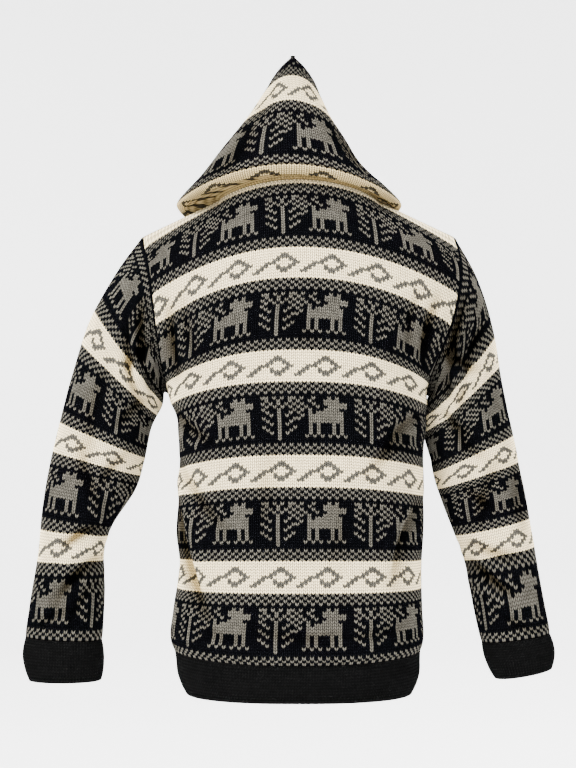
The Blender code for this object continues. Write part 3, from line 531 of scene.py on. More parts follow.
def hood_ring(row, places):
    """Points of one hood row from its left front edge round the back to the right."""
    half, shift, side_y, side_z, back_y, back_z, front_x, front_y, front_z = (
        float(through(HOOD[:, 0], HOOD[:, column], row)) for column in range(1, 10)
    )
    sign = -np.sign(places)
    reach = np.abs(places)
    back = np.clip(reach / 0.5, 0.0, 1.0) * math.pi / 2.0
    front = np.clip((reach - 0.5) / 0.5, 0.0, 1.0) * math.pi / 2.0
    behind = reach <= 0.5
    x = np.where(behind, half * np.sin(back), front_x + (half - front_x) * np.cos(front) ** 1.4)
    y = np.where(
        behind,
        side_y + (back_y - side_y) * np.cos(back),
        side_y + (front_y - side_y) * np.sin(front),
    )
    z = np.where(
        behind,
        side_z + (back_z - side_z) * np.cos(back) ** 2,
        side_z + (front_z - side_z) * np.sin(front) ** 1.5,
    )
    return np.column_stack([sign * x + shift, y, z])


def hood_cloth():
    """The hood, from the neck seam to the seam along its top."""
    neck, places = neck_line()
    rise = -neck * (NECK_RISE_LEAN, NECK_RISE_LEAN, 0.0) + (0.0, 0.0, 1.0)
    rise /= np.linalg.norm(rise, axis=-1, keepdims=True)
    neck = neck + rise * SEAM_GAP
    rows = np.arange(0, HOOD_ROWS + 1)
    lines, ends = [], []
    for row in rows:
        share = min(row / HOOD_BLEND_ROW, 1.0)
        weight = ease((share - 0.16) / 0.84)
        lift = rise * HOOD_LIFT * math.sin(math.pi * share)
        line = (1.0 - weight) * neck + weight * hood_ring(max(row, HOOD_BLEND_ROW), places) + lift
        line = line[::-1]
        length = lengths_along(line)
        middle = length[len(line) // 2]
        lines.append(line)
        ends.append((middle, length[-1] - middle))
    return Cloth(rows, lines, ends, -1)


class Knitting:
    """How a piece of cloth is divided into stitches."""

    def __init__(self, cloth, first, last, rows, pitch, start, edges, neckline=False, chart_turn=-1):
        self.cloth = cloth
        self.columns = np.arange(first * 4, last * 4 + 1)
        self.rows = np.asarray(rows)
        self.pitch = pitch
        self.start = start
        self.edges = edges
        self.neckline = neckline
        self.chart_turn = chart_turn

    def places(self, columns, rows, slant):
        """Place along the row and height in rows of each corner of the stitches."""
        k, r = np.meshgrid(columns, rows)
        r = r.astype(float)
        raw = self.start(r) + k / 4.0 * self.pitch(r)
        low, high = self.edges(r)
        inside = np.clip(np.minimum(high - raw, raw - low) / self.pitch(r), 0.0, 1.0)
        point_down = np.abs(2.0 * np.mod(k / 4.0, 1.0) - 1.0)
        v = r + slant * point_down * inside
        v[0] = rows[0]
        v = np.minimum(v, rows[-1])
        if self.neckline:
            reach = np.abs(np.clip(raw, low, high))
            v = np.where(reach < NECK_LENGTH, np.minimum(v, neck_row(reach)), v)
        low, high = self.edges(v)
        s = np.clip(raw, low, high)
        return s, v, inside


def merged(s, v):
    """One number for every different corner, and where each first occurs."""
    key = np.round(s * 1000.0).astype(np.int64) * 10000000 + np.round(v * 10000.0).astype(np.int64)
    _, first, index = np.unique(key.ravel(), return_index=True, return_inverse=True)
    return first, index.reshape(s.shape)


def distinct(ids):
    """Which triangles have three different corners."""
    return (ids[:, 0] != ids[:, 1]) & (ids[:, 1] != ids[:, 2]) & (ids[:, 0] != ids[:, 2])


def skin_faces(index, outwards):
    """Triangles of a grid of corners, each with its row, column and corner places."""
    rows, across = index.shape
    i, j = np.meshgrid(np.arange(rows - 1), np.arange(across - 1), indexing="ij")
    i, j = i.ravel(), j.ravel()
    corners = [(i, j), (i, j + 1), (i + 1, j + 1), (i + 1, j)]
    triangles = []
    for order in ((0, 1, 2), (0, 2, 3)):
        if not outwards:
            order = order[::-1]
        ids = np.stack([index[corners[c]] for c in order], axis=1)
        grid = np.stack([np.stack(corners[c], axis=1) for c in order], axis=1)
        keep = distinct(ids)
        triangles.append((ids[keep], grid[keep], i[keep], j[keep]))
    return [np.concatenate(part) for part in zip(*triangles)]


def grid_sides(index):
    """The four sides of a grid of corners, in order round it."""
    sides = []
    for line in (index[0], index[:, -1], index[-1][::-1], index[:, 0][::-1]):
        keep = np.concatenate([[True], line[1:] != line[:-1]])
        sides.append(line[keep])
    return sides


def rim_faces(outer, inner, points):
    """Triangles between the outer and inner lines of one side of a piece."""
    a, b = lengths_along(points[outer]), lengths_along(points[inner])
    a, b = a / max(a[-1], TINY), b / max(b[-1], TINY)
    faces = []
    i = j = 0
    while i < len(outer) - 1 or j < len(inner) - 1:
        if j == len(inner) - 1 or (i < len(outer) - 1 and a[i + 1] <= b[j + 1] + TINY):
            faces.append((outer[i + 1], outer[i], inner[j]))
            i += 1
        else:
            faces.append((outer[i], inner[j], inner[j + 1]))
            j += 1
    return faces


def rims_between(outer, inner, points):
    """Triangles that close a piece between the sides of its two grids."""
    rims = []
    for side_outer, side_inner in zip(grid_sides(outer), grid_sides(inner)):
        rims.extend(rim_faces(side_outer, side_inner, points))
    return np.array(rims)


def yarn_colours(column, row, chooser):
    """Yarn of each stitch, a little uneven from stitch to stitch."""
    chosen = chooser(column, row)
    jitter = np.sin(column * 12.9898 + row * 78.233) * 43758.5453
    jitter = jitter - np.floor(jitter) - 0.5
    return YARNS[chosen] * (1.0 + YARN_UNEVEN[chosen] * jitter)[:, None]


def chart(lines):
    """A chart as rows of true and false, from its lowest row up."""
    return np.array([[letter == "#" for letter in line] for line in lines])[::-1]


def charted(picture, column, level, first_row):
    """Where a chart that starts at a row and repeats sideways has its motif."""
    row = level - first_row
    inside = (row >= 0) & (row < len(picture))
    return inside & picture[np.clip(row, 0, len(picture) - 1), np.mod(column, picture.shape[1])]


def banded(column, row):
    """Body and sleeve pattern: 0 charcoal, 1 grey, 2 cream."""
    level = np.mod(row, PERIOD)
    chosen = np.zeros(len(level), int)
    checks = (level < ANIMAL_ROW - 1) | ((level >= CHECK_ROW) & (level < CREAM_ROW)) | (level == PERIOD - 1)
    chosen[checks & (np.mod(column + level, 2) == 0)] = 1
    chosen[charted(ANIMALS, column, level, ANIMAL_ROW)] = 1
    chosen[(level >= CREAM_ROW) & (level < PERIOD - 1)] = 2
    chosen[charted(SCROLLS, column, level, SCROLL_ROW)] = 1
    return chosen


ANIMALS = chart(ANIMAL_CHART)
SCROLLS = chart(SCROLL_CHART)


def body_pattern(column, row):
    """The bands, with a cream line along the shoulders and the neck."""
    chosen = banded(column, row)
    chosen[row >= SHOULDER_ROW - 2] = 2
    return chosen


def hood_pattern(column, row):
    """The hood's rows: cream at the neck, the same bands above, and a dark tip."""
    chosen = banded(column, row + CREAM_ROW)
    tip = row >= HOOD_TIP_ROW
    chosen[tip] = 0
    chosen[tip & (np.mod(column * 2 + row * 3, 7) == 0)] = 1
    return chosen


def sleeve_pattern(column, row):
    """The same bands on the sleeves, dark where the cap is sewn in."""
    chosen = banded(column, row)
    chosen[row >= SLEEVE_ROWS[-1] - 2] = 0
    return chosen


def plain_band(column, row):
    """The black yarn of the hem band and cuffs."""
    return np.full(len(row), 3)


def crease_depth(points, normals, creases):
    """How far the creases move each point in or out."""
    depth = np.zeros(len(points))
    for facing, x0, z0, x1, z1, width, deep in creases:
        along = np.array([x1 - x0, z1 - z0], float)
        place = points[:, [0, 2]] - (x0, z0)
        at = place @ along / (along @ along)
        away = np.linalg.norm(place - np.clip(at, 0.0, 1.0)[:, None] * along, axis=1)
        bend = 0.12 * np.linalg.norm(along) * np.sin(math.pi * np.clip(at, 0.0, 1.0))
        side = np.sign(place @ np.array([-along[1], along[0]]))
        away = np.abs(away * side - bend * 0.5)
        taper = np.sin(math.pi * np.clip(at * 0.84 + 0.08, 0.0, 1.0))
        seen = ease((facing * normals[:, 1] + 0.35) / 0.6)
        depth += deep * np.exp(-(away / width) ** 2) * taper * seen
    return depth


def skin(knitting, columns, rows, slant, creases, seams):
    """Corners of one side of a piece, each different one once, with where it lies on the cloth."""
    cloth = knitting.cloth
    s, v, inside = knitting.places(columns, rows, slant)
    first, index = merged(s, v)
    s, v = s.ravel()[first], v.ravel()[first]
    points = cloth.read(cloth.points, s, v)
    normals = cloth.read(cloth.normals, s, v)
    normals /= np.maximum(np.linalg.norm(normals, axis=1, keepdims=True), TINY)
    fold = crease_depth(points, normals, creases) * seam_fade(knitting, s, v, seams)
    odd = np.mod(np.broadcast_to(columns, inside.shape).ravel()[first], 2) == 1
    return index, s, v, points, normals, fold, odd, inside.ravel()[first]


def stitch_places(columns, rows, corners):
    """Stitch and row of each corner of the faces."""
    return np.stack([columns[corners[..., 1]] / 4.0, rows[corners[..., 0]]], axis=-1).reshape(-1, 2)


def bake_places(pattern, columns, rows, outside_count, inside_count, rim_count):
    """The same places in one unit square: the outside, the inside and the rims side by side."""
    bake = np.array(pattern)
    low, high = columns[0] / 4.0, columns[-1] / 4.0
    bake[:, 0] = (bake[:, 0] - low) / (high - low)
    bake[:, 1] = (bake[:, 1] - rows[0]) / (rows[-1] - rows[0])
    split = outside_count * 3
    end = split + inside_count * 3
    bake[:split, 0] *= 0.78
    bake[split:end, 0] = 0.79 + bake[split:end, 0] * 0.19
    spread = np.arange(rim_count)[:, None] + np.array((0.0, 0.0, 0.9))
    bake[end:, 0] = np.tile((0.985, 0.995, 0.985), rim_count)
    bake[end:, 1] = (spread / max(rim_count, 1)).ravel()
    return bake


def knitted(name, knitting, chooser, creases=(), relief=RIDGE, taper=(1, 1, 1, 1), grooves=(0, 0, 0, 0.8),
            painted_shadow=((0.0, 1.0), (1.0, 1.0)), seams="all"):
    """A knitted piece: its stitches outside, a plainer inside and closed edges."""
    outside = knitting.cloth.outside_sign
    columns, rows = knitting.columns, knitting.rows
    index, s, v, base, normals, fold, odd, inside = skin(
        knitting, columns, rows, STITCH_SLANT, creases, seams
    )
    ridge = np.where(odd, relief, -VALLEY_SHARE * relief) * inside
    outer = base + normals * (ridge + fold - edge_groove(knitting, s, v, grooves))[:, None]
    columns2 = columns[::4]
    rows2 = np.unique(np.concatenate([rows[::2], rows[-1:]]))
    index2, s, v, base, normals, fold2, _, _ = skin(knitting, columns2, rows2, 0.0, creases, seams)
    wall = WALL * edge_taper(knitting, s, v, taper)
    inner = base + normals * (fold2 - edge_groove(knitting, s, v, grooves) - wall)[:, None]
    points = np.vstack([outer, inner])
    index2 = index2 + len(outer)
    faces, corners, row_of, column_of = skin_faces(index, outside > 0)
    faces2, corners2, row_of2, column_of2 = skin_faces(index2, outside < 0)
    rims = rims_between(index, index2, points)
    rims = rims[distinct(rims)][:, ::outside]
    turn = knitting.chart_turn
    yarn = yarn_colours((columns[:-1] // 4)[column_of] * turn, rows[row_of], chooser)
    # Painted shade: the yarn colour is darkened, and tinted warmer, in crease troughs as if in their shade
    shade = np.clip(-fold[faces].mean(axis=1) / FOLD_DEPTH, 0.0, FOLD_PAINTED_SHADE)[:, None]
    yarn = yarn * (1.0 - shade * (1.0, 1.07, 1.2)).clip(0.05, 1.0)
    # Painted shadow: rows that lie in a fold's shadow get a darker, tan yarn colour
    light = np.interp(rows[row_of], *painted_shadow)[:, None]
    yarn = yarn * light ** np.array((1.0, 1.15, 1.5))
    # Painted shade: the inside's yarn colour is darkened as if it lay in shade
    yarn2 = yarn_colours((columns2[:-1] // 4)[column_of2] * turn, rows2[row_of2], chooser) * INSIDE_PAINTED_SHADE
    colours = np.vstack([yarn, yarn2, np.tile(BAND, (len(rims), 1))])
    pattern = np.vstack([
        stitch_places(columns, rows, corners),
        stitch_places(columns2, rows2, corners2),
        np.zeros((len(rims) * 3, 2)),
    ])
    bake = bake_places(pattern, columns, rows, len(faces), len(faces2), len(rims))
    all_faces = np.vstack([faces, faces2, rims])
    filled_object(name, points * MM, all_faces, colours, {"OFBake": bake, "stitches": pattern})


def edge_distance(knitting, s, v):
    """Distances in millimetres to the right, top, left and bottom edges."""
    low, high = knitting.edges(v)
    rows = knitting.rows
    top = (rows[-1] - v) * ROW_HEIGHT
    if knitting.neckline:
        reach = np.abs(s)
        top = np.where(reach < NECK_LENGTH, (neck_row(reach) - v) * ROW_HEIGHT, top)
    return s - low, top, high - s, (v - rows[0]) * ROW_HEIGHT


def edge_taper(knitting, s, v, wanted):
    """Share of the wall's thickness near the edges that meet other pieces."""
    share = np.ones(len(s))
    for distance, on in zip(edge_distance(knitting, s, v), wanted):
        if on:
            share = np.minimum(share, THINNEST_SHARE + (1.0 - THINNEST_SHARE) * ease(distance / TAPER_WIDTH))
    return share


def seam_fade(knitting, s, v, seams):
    """Creases run out at the armholes, the neck, the bands and the zip."""
    right, top, left, bottom = (ease(distance / SEAM_FADE) for distance in edge_distance(knitting, s, v))
    ends = np.minimum(top, bottom)
    if seams == "sleeve":
        return ends
    sides = np.minimum(right, left)
    if seams in ("back", "front"):
        sides = 1.0 - ease((v - ARMPIT_ROW + ARMPIT_FADE_ROWS) / ARMPIT_FADE_ROWS) * (1.0 - sides)
    if seams == "front":
        sides = sides * ease((np.abs(s) - FRONT_EDGE) / ZIP_FADE)
    return np.minimum(sides, ends)


def edge_groove(knitting, s, v, wanted):
    """How far the cloth is drawn in along its seams."""
    depth = np.zeros(len(s))
    for distance, deep in zip(edge_distance(knitting, s, v), wanted):
        if deep:
            depth = np.maximum(depth, deep * np.exp(-(distance / GROOVE_WIDTH) ** 2))
    return depth


def filled_object(name, points, faces, colours, maps):
    """Object from triangles, with a yarn colour for each face and its flat maps."""
    mesh = bpy.data.meshes.new(name)
    mesh.vertices.add(len(points))
    mesh.vertices.foreach_set("co", np.asarray(points, np.float32).ravel())
    mesh.loops.add(len(faces) * 3)
    mesh.loops.foreach_set("vertex_index", np.asarray(faces, np.int32).ravel())
    mesh.polygons.add(len(faces))
    mesh.polygons.foreach_set("loop_start", np.arange(0, len(faces) * 3, 3, dtype=np.int32))
    mesh.update(calc_edges=True)
    for map_name, places in maps.items():
        layer = mesh.uv_layers.new(name=map_name)
        layer.uv.foreach_set("vector", np.asarray(places, np.float32).ravel())
    layer = mesh.color_attributes.new("yarn", "FLOAT_COLOR", "CORNER")
    full = np.ones((len(faces) * 3, 4), np.float32)
    full[:, :3] = np.repeat(colours, 3, axis=0)
    layer.data.foreach_set("color", full.ravel())
    mesh.validate()
    mesh.shade_smooth()
    bpy.context.collection.objects.link(bpy.data.objects.new(name, mesh))


class Shade:
    """A socket of a material, with arithmetic that adds nodes."""

    def __init__(self, tree, socket):
        self.tree = tree
        self.socket = socket

    def node(self, kind, settings=None, values=None, output=0):
        """A new node with its settings, its inputs set or linked, and one output."""
        item = self.tree.nodes.new(kind)
        for key, value in (settings or {}).items():
            setattr(item, key, value)
        for key, value in (values or {}).items():
            if isinstance(value, Shade):
                self.tree.links.new(value.socket, item.inputs[key])
            else:
                item.inputs[key].default_value = value
        return Shade(self.tree, item.outputs[output])

    def math(self, operation, first, second=None):
        """A new arithmetic node."""
        values = {0: first} if second is None else {0: first, 1: second}
        return self.node("ShaderNodeMath", {"operation": operation}, values)

    def __add__(self, other):
        return self.math("ADD", self, other)

    def __radd__(self, other):
        return self.math("ADD", other, self)

    def __sub__(self, other):
        return self.math("SUBTRACT", self, other)

    def __rsub__(self, other):
        return self.math("SUBTRACT", other, self)

    def __mul__(self, other):
        return self.math("MULTIPLY", self, other)

    def __rmul__(self, other):
        return self.math("MULTIPLY", other, self)


def new_material(name, roughness, metallic=0.0):
    """A material with its shader, and a first socket to build from."""
    material = bpy.data.materials.new(name)
    material.use_nodes = True
    tree = material.node_tree
    shader = tree.nodes["Principled BSDF"]
    shader.inputs["Roughness"].default_value = roughness
    shader.inputs["Metallic"].default_value = metallic
    return material, shader, Shade(tree, None)


def feed(shade, shader, **links):
    """Links finished values to the shader's sockets."""
    for name, value in links.items():
        shade.tree.links.new(value.socket, shader.inputs[name.replace("_", " ")])


def tinted(shade, colour, factor):
    """A colour made lighter or darker by a number."""
    return shade.node("ShaderNodeVectorMath", {"operation": "SCALE"}, {"Vector": colour, "Scale": factor})


def stitch_axes(shade):
    """Place across in stitches and place up in rows."""
    places = shade.node("ShaderNodeUVMap", {"uv_map": "stitches"})
    u = shade.node("ShaderNodeSeparateXYZ", None, {"Vector": places})
    return u, Shade(shade.tree, u.socket.node.outputs["Y"])


def noise(shade, solid, scale, detail, **settings):
    """Cloudy unevenness in the solid."""
    values = {"Vector": solid, "Scale": scale, "Detail": detail, **settings}
    return shade.node("ShaderNodeTexNoise", None, values)


def wool(name):
    """Knitted wool: two rounded legs to a stitch, twisted plies and a soft fuzz."""
    material, shader, shade = new_material(name, 0.95)
    shader.inputs["Specular IOR Level"].default_value = 0.0
    u, v = stitch_axes(shade)
    leg = shade.math("ABSOLUTE", shade.math("SINE", u * (2.0 * math.pi)))
    row = shade.math("ABSOLUTE", shade.math("SINE", v * math.pi))
    leg = shade.math("POWER", leg, 0.9)
    row = shade.math("POWER", row, 0.6)
    slope = shade.math("PINGPONG", u, 0.5)
    ply = shade.math("SINE", slope * 40.0 + v * 14.0)
    solid = shade.node("ShaderNodeTexCoord", output=3)
    fuzz = noise(shade, solid, 900.0, 3.0, Roughness=0.7)
    cloud = noise(shade, solid, 60.0, 2.0)
    form = leg * row
    height = form + ply * 0.10 + fuzz * 0.45
    yarn = shade.node("ShaderNodeVertexColor", {"layer_name": "yarn"})
    # Painted shade: the yarn colour is darker between a stitch's legs and between rows and lighter on the
    # legs, with random fuzz and cloud unevenness in its tone
    light = (form * 1.18 + 0.05) * (0.55 + fuzz * 0.90) * (0.90 + cloud * 0.20) + ply * 0.03
    colour = tinted(shade, yarn, light)
    bump = shade.node("ShaderNodeBump", None, {"Strength": 0.85, "Distance": 0.0011, "Height": height})
    feed(shade, shader, Base_Color=colour, Normal=bump)
    return material


def woven_tape():
    """Black twill tape."""
    material, shader, shade = new_material("zip_tape_twill", 0.8)
    shader.inputs["Specular IOR Level"].default_value = 0.25
    u, v = stitch_axes(shade)
    twill = shade.math("SINE", u * 9.0 + v * 9.0) * 0.5 + 0.5
    across = shade.math("SINE", v * 18.0) * 0.5 + 0.5
    height = twill * 0.7 + across * 0.3
    # Painted shade: the tape's colour is darker in the low places of the twill and cross weave
    colour = tinted(shade, shade.node("ShaderNodeVertexColor", {"layer_name": "yarn"}), height * 0.6 + 0.6)
    bump = shade.node("ShaderNodeBump", None, {"Strength": 0.6, "Distance": 0.0002, "Height": height})
    feed(shade, shader, Base_Color=colour, Normal=bump)
    return material


def zip_metal(name, scale):
    """Darkened nickel with a satin grain."""
    material, shader, shade = new_material(name, 0.34, 1.0)
    solid = shade.node("ShaderNodeTexCoord", output=3)
    stretched = shade.node("ShaderNodeMapping", None, {"Vector": solid, "Scale": (scale, scale, scale * 0.2)})
    grain = noise(shade, stretched, 1.0, 4.0)
    cloud = noise(shade, solid, 300.0, 2.0)
    mixed = {"Factor": cloud, 6: NICKEL_DARK, 7: NICKEL_LIGHT}
    metal = shade.node("ShaderNodeMix", {"data_type": "RGBA"}, mixed, output=2)
    rough = grain * 0.22 + 0.24
    bump = shade.node("ShaderNodeBump", None, {"Strength": 0.25, "Distance": 0.00008, "Height": grain})
    feed(shade, shader, Base_Color=metal, Roughness=rough, Normal=bump)
    return material


# Creases: which way they face, both ends as X and Z, half width, and how far they stand
# out, which is below zero for a trough. All are given in millimetres
BACK_CREASES = [
    (1, 166, -372, 116, -535, 8.8, -12.5),
    (1, 148, -366, 98, -512, 7.2, 5.6),
    (1, 160, -330, 92, -420, 8, -6.9),
    (1, -162, -380, -122, -492, 8.8, -8.1),
    (1, -146, -392, -104, -500, 7.2, 3.5),
    (1, -150, -300, -84, -356, 8, -5.2),
    (1, 172, -262, 112, -312, 8.8, -8.2),
    (1, 160, -280, 96, -334, 7.2, 3.5),
    (1, -168, -266, -106, -324, 8, -7.8),
    (1, 168, -128, 158, -226, 8, -9.4),
    (1, 150, -110, 132, -206, 7.2, -4.5),
    (1, -184, -116, -166, -214, 8, -9.4),
    (1, -160, -106, -142, -196, 7.2, -4.8),
    (1, 70, -540, -64, -550, 8, -5.0),
    (1, 150, -566, -150, -569, 8.8, 4.5),
    (1, 130, -545, 60, -556, 6.4, -4.2),
    (1, -60, -552, -140, -540, 6.4, -4.0),
    (1, 26, -300, 44, -440, 12.8, -3.0),
    (1, -40, -470, -56, -380, 11.2, -2.8),
    (1, 20, -120, -30, -200, 14.4, -2.2),
]
ARM_CREASES = [
    (1, 206, -118, 194, -236, 6.4, -13.1),
    (1, 226, -140, 206, -262, 6.4, -8.8),
    (1, 216, -150, 200, -244, 4.8, 5.6),
    (1, 196, -250, 236, -286, 6.4, -7.5),
    (1, -222, -118, -196, -250, 6.4, -13.8),
    (1, -248, -150, -212, -262, 6.4, -12.5),
    (1, -235, -182, -210, -244, 6.4, 9.4),
    (1, -186, -262, -226, -300, 6.4, -8.8),
    (1, -196, -286, -250, -330, 7.2, -5.6),
    (1, 260, -420, 312, -446, 6.4, -11.9),
    (1, 256, -456, 326, -524, 7.2, -10.6),
    (1, 262, -438, 322, -482, 7.2, 6.2),
    (1, 264, -488, 306, -556, 6.4, -5.8),
    (1, 290, -300, 258, -396, 8.8, -6.5),
    (1, 252, -206, 276, -330, 9.6, -5.2),
    (1, 222, -320, 262, -368, 7.2, -6.0),
    (1, -224, -462, -286, -510, 7.2, -11.9),
    (1, -222, -440, -294, -458, 7.2, -7.5),
    (1, -230, -484, -302, -536, 7.2, 5.2),
    (1, -264, -330, -236, -424, 8.8, -6.0),
    (1, -214, -360, -262, -398, 7.2, -5.5),
    (1, -290, -330, -304, -430, 9.6, -4.2),
    (1, 300, -528, 352, -556, 7.2, -5.5),
    (1, -270, -536, -322, -560, 7.2, -5.5),
    (-1, 206, -120, 194, -240, 6.4, -12.5),
    (-1, 228, -144, 208, -262, 6.4, -8.2),
    (-1, -220, -122, -196, -246, 6.4, -12.5),
    (-1, -244, -152, -212, -266, 6.4, -9.5),
    (-1, 258, -400, 316, -432, 7.2, -11.2),
    (-1, 262, -442, 334, -490, 7.2, -8.2),
    (-1, 230, -330, 272, -372, 7.2, -5.5),
    (-1, -222, -440, -288, -472, 7.2, -11.2),
    (-1, -234, -480, -310, -522, 7.2, -7.5),
    (-1, 302, -250, 280, -352, 8.8, -5.5),
    (-1, -280, -262, -254, -372, 8.8, -5.5),
    (1, 184, -198, 216, -228, 9, 7.5),
    (1, 190, -178, 228, -212, 6, -8.5),
    (1, -188, -204, -230, -234, 10, 9.0),
    (1, -186, -186, -238, -212, 7, -10.5),
    (1, -180, -244, -187, -322, 15, 6.5),
    (-1, -180, -244, -187, -322, 15, 5.5),
]
FRONT_CREASES = [
    (-1, 160, -350, 118, -520, 13, -6.8),
    (-1, 148, -336, 84, -430, 12, -4.3),
    (-1, -158, -366, -112, -508, 13, -7.0),
    (-1, -150, -300, -90, -388, 12, -4.1),
    (-1, 172, -256, 104, -320, 12, -5.7),
    (-1, -170, -258, -118, -330, 12, -5.1),
    (-1, 150, -100, 124, -196, 13, -4.3),
    (-1, -158, -96, -136, -202, 13, -4.1),
    (-1, 140, -562, 30, -568, 11, 3.5),
    (-1, -142, -562, -34, -566, 11, 3.8),
    (-1, 60, -180, 86, -300, 15, -2.4),
    (-1, -58, -420, -80, -306, 15, -2.4),
]
HOOD_CREASES = [
    (1, 120, 44, 60, 104, 13, -5.6),
    (1, -96, 44, -44, 112, 13, -6.2),
    (1, 84, 96, 34, 168, 10, -3.6),
    (1, -66, 104, -22, 172, 10, -3.9),
    (1, 30, 60, 8, 150, 15, 2.5),
    (-1, 122, 36, 76, 96, 12, -4.2),
    (-1, -100, 40, -60, 104, 12, -4.8),
]


def front_edges(cloth, side):
    """Limits of a front's stitches: its side seam and its centre edge."""
    def edges(row):
        low, high = cloth.spans(row)
        return (low * 0.0 + FRONT_EDGE, high) if side > 0 else (low, high * 0.0 - FRONT_EDGE)
    return edges


def even_pitch(edges, stitches):
    """The same number of stitches in every row."""
    def pitch(row):
        low, high = edges(row)
        return (high - low) / stitches

    def start(row):
        return edges(row)[0]
    return pitch, start


def plain_pitch(stitches):
    """Stitches of one width, counted from the middle of the cloth."""
    def pitch(row):
        return row * 0.0 + STITCH_WIDTH

    def start(row):
        return row * 0.0 - STITCH_WIDTH * stitches / 2.0
    return pitch, start


def body_pitch(cloth, stitches, side=0):
    """Even stitches up to the armpits, and the same width above."""
    def wide(row):
        low, high = cloth.spans(np.minimum(row, ARMPIT_ROW))
        return (high - low - (FRONT_EDGE if side else 0.0)) / stitches

    def start(row):
        low, high = cloth.spans(row)
        if side > 0:
            return row * 0.0 + FRONT_EDGE
        if side < 0:
            return row * 0.0 - FRONT_EDGE
        return (low + high) / 2.0 - wide(row) * stitches / 2.0
    return wide, start


def even_back_rows():
    """Rows of the back at even heights along its middle."""
    rows = np.linspace(ARMPIT_ROW, SHOULDER_ROW, 4 * (SHOULDER_ROW - ARMPIT_ROW) + 1)
    height = [panel_row(1, row)[ROW_POINTS // 2, 2] for row in rows]
    wanted = np.linspace(height[0], height[-1], SHOULDER_ROW - ARMPIT_ROW + 1)
    return np.concatenate([np.arange(0, ARMPIT_ROW), np.interp(wanted, height, rows)])


BACK_CLOTH = panel_cloth(1, 0, even_back_rows())
BACK_CLOTH.rows = np.arange(0.0, SHOULDER_ROW + 1.0)
FRONT_CLOTHS = {side: panel_cloth(-1, side, BACK_CLOTH.rows) for side in (1, -1)}


def make_body():
    """The back and the two fronts."""
    pitch, start = body_pitch(BACK_CLOTH, BACK_STITCHES)
    rows = np.arange(0, SHOULDER_ROW + 1)
    knitting = Knitting(BACK_CLOTH, 0, BACK_STITCHES, rows, pitch, start, BACK_CLOTH.spans)
    knitted("back_knit", knitting, body_pattern, BACK_CREASES + ARM_CREASES, seams="back")
    for name, side in (("front_left_knit", 1), ("front_right_knit", -1)):
        cloth = FRONT_CLOTHS[side]
        pitch, start = body_pitch(cloth, FRONT_STITCHES, side)
        first, last = (0, FRONT_STITCHES) if side > 0 else (-FRONT_STITCHES, 0)
        edges = front_edges(cloth, side)
        knitting = Knitting(cloth, first, last, rows, pitch, start, edges, neckline=True, chart_turn=1)
        knitted(name, knitting, body_pattern, FRONT_CREASES + ARM_CREASES, seams="front")


def make_sleeves():
    """Sleeves and cuffs."""
    for name, side in (("left", 1), ("right", -1)):
        cloth = sleeve_cloth(side)
        stitches = int(math.ceil(cloth.high.max() / STITCH_WIDTH)) * 2
        pitch, start = plain_pitch(stitches)
        knitting = Knitting(cloth, 0, stitches, cloth.rows.astype(int), pitch, start, tube_edges(cloth))
        knitted("sleeve_" + name + "_knit", knitting, sleeve_pattern, ARM_CREASES, seams="sleeve")
        cloth = cuff_cloth(side)
        pitch, start = even_pitch(cloth.spans, CUFF_STITCHES)
        knitting = Knitting(
            cloth, 0, CUFF_STITCHES, cloth.rows.astype(int), pitch, start, tube_edges(cloth)
        )
        knitted(
            "cuff_" + name + "_knit", knitting, plain_band, relief=BAND_RIDGE, taper=(0, 1, 0, 0),
            grooves=(0.0, 0.9, 0.0, 1.3)
        )


def tube_edges(cloth):
    """Limits of a tube's stitches, a hair apart at its seam."""
    def edges(row):
        low, high = cloth.spans(row)
        return low + TUBE_SEAM, high - TUBE_SEAM
    return edges


def make_hem():
    """The black hem band, in three pieces."""
    rows = np.arange(-HEM_ROWS, 1)
    for name, part in (("hem_back_knit", 0), ("hem_left_knit", 1), ("hem_right_knit", -1)):
        cloth = panel_cloth(-1 if part else 1, part, rows)
        stitches = HEM_STITCHES // 2 if part else HEM_STITCHES
        edges = front_edges(cloth, part) if part else cloth.spans
        pitch, start = even_pitch(edges, stitches)
        knitting = Knitting(cloth, 0, stitches, rows, pitch, start, edges)
        knitted(
            name, knitting, plain_band, relief=BAND_RIDGE, taper=(1, 1, 1, 0), grooves=(1.0, 0.9, 1.0, 1.3)
        )


def make_hood():
    """The hood."""
    cloth = hood_cloth()
    stitches = int(math.ceil(max(cloth.high.max(), -cloth.low.min()) / STITCH_WIDTH)) * 2
    pitch, start = plain_pitch(stitches)
    knitting = Knitting(cloth, 0, stitches, cloth.rows.astype(int), pitch, start, cloth.spans)
    knitted(
        "hood_knit", knitting, hood_pattern, HOOD_CREASES, taper=(0, 0, 0, 1), grooves=(0.0, 0.0, 0.0, 1.2),
        painted_shadow=HOOD_PAINTED_SHADOW
    )


def zip_line():
    """Middle of the zip from the hem's lower edge to the neck, with its forward and upward directions."""
    points = []
    for row in np.linspace(-HEM_ROWS, NECK_FRONT_ROW - 0.3, 321):
        line = panel_row(-1, row)[::-1]
        points.append(read_along(line, line[:, 0], 0.0)[0])
    points = np.array(points)
    points[:, 0] = 0.0
    rise = np.gradient(points, axis=0)
    rise /= np.linalg.norm(rise, axis=1, keepdims=True)
    forward = np.column_stack([rise[:, 0] * 0.0, -rise[:, 2], rise[:, 1]])
    return points - forward * ZIP_DEPTH, forward, rise


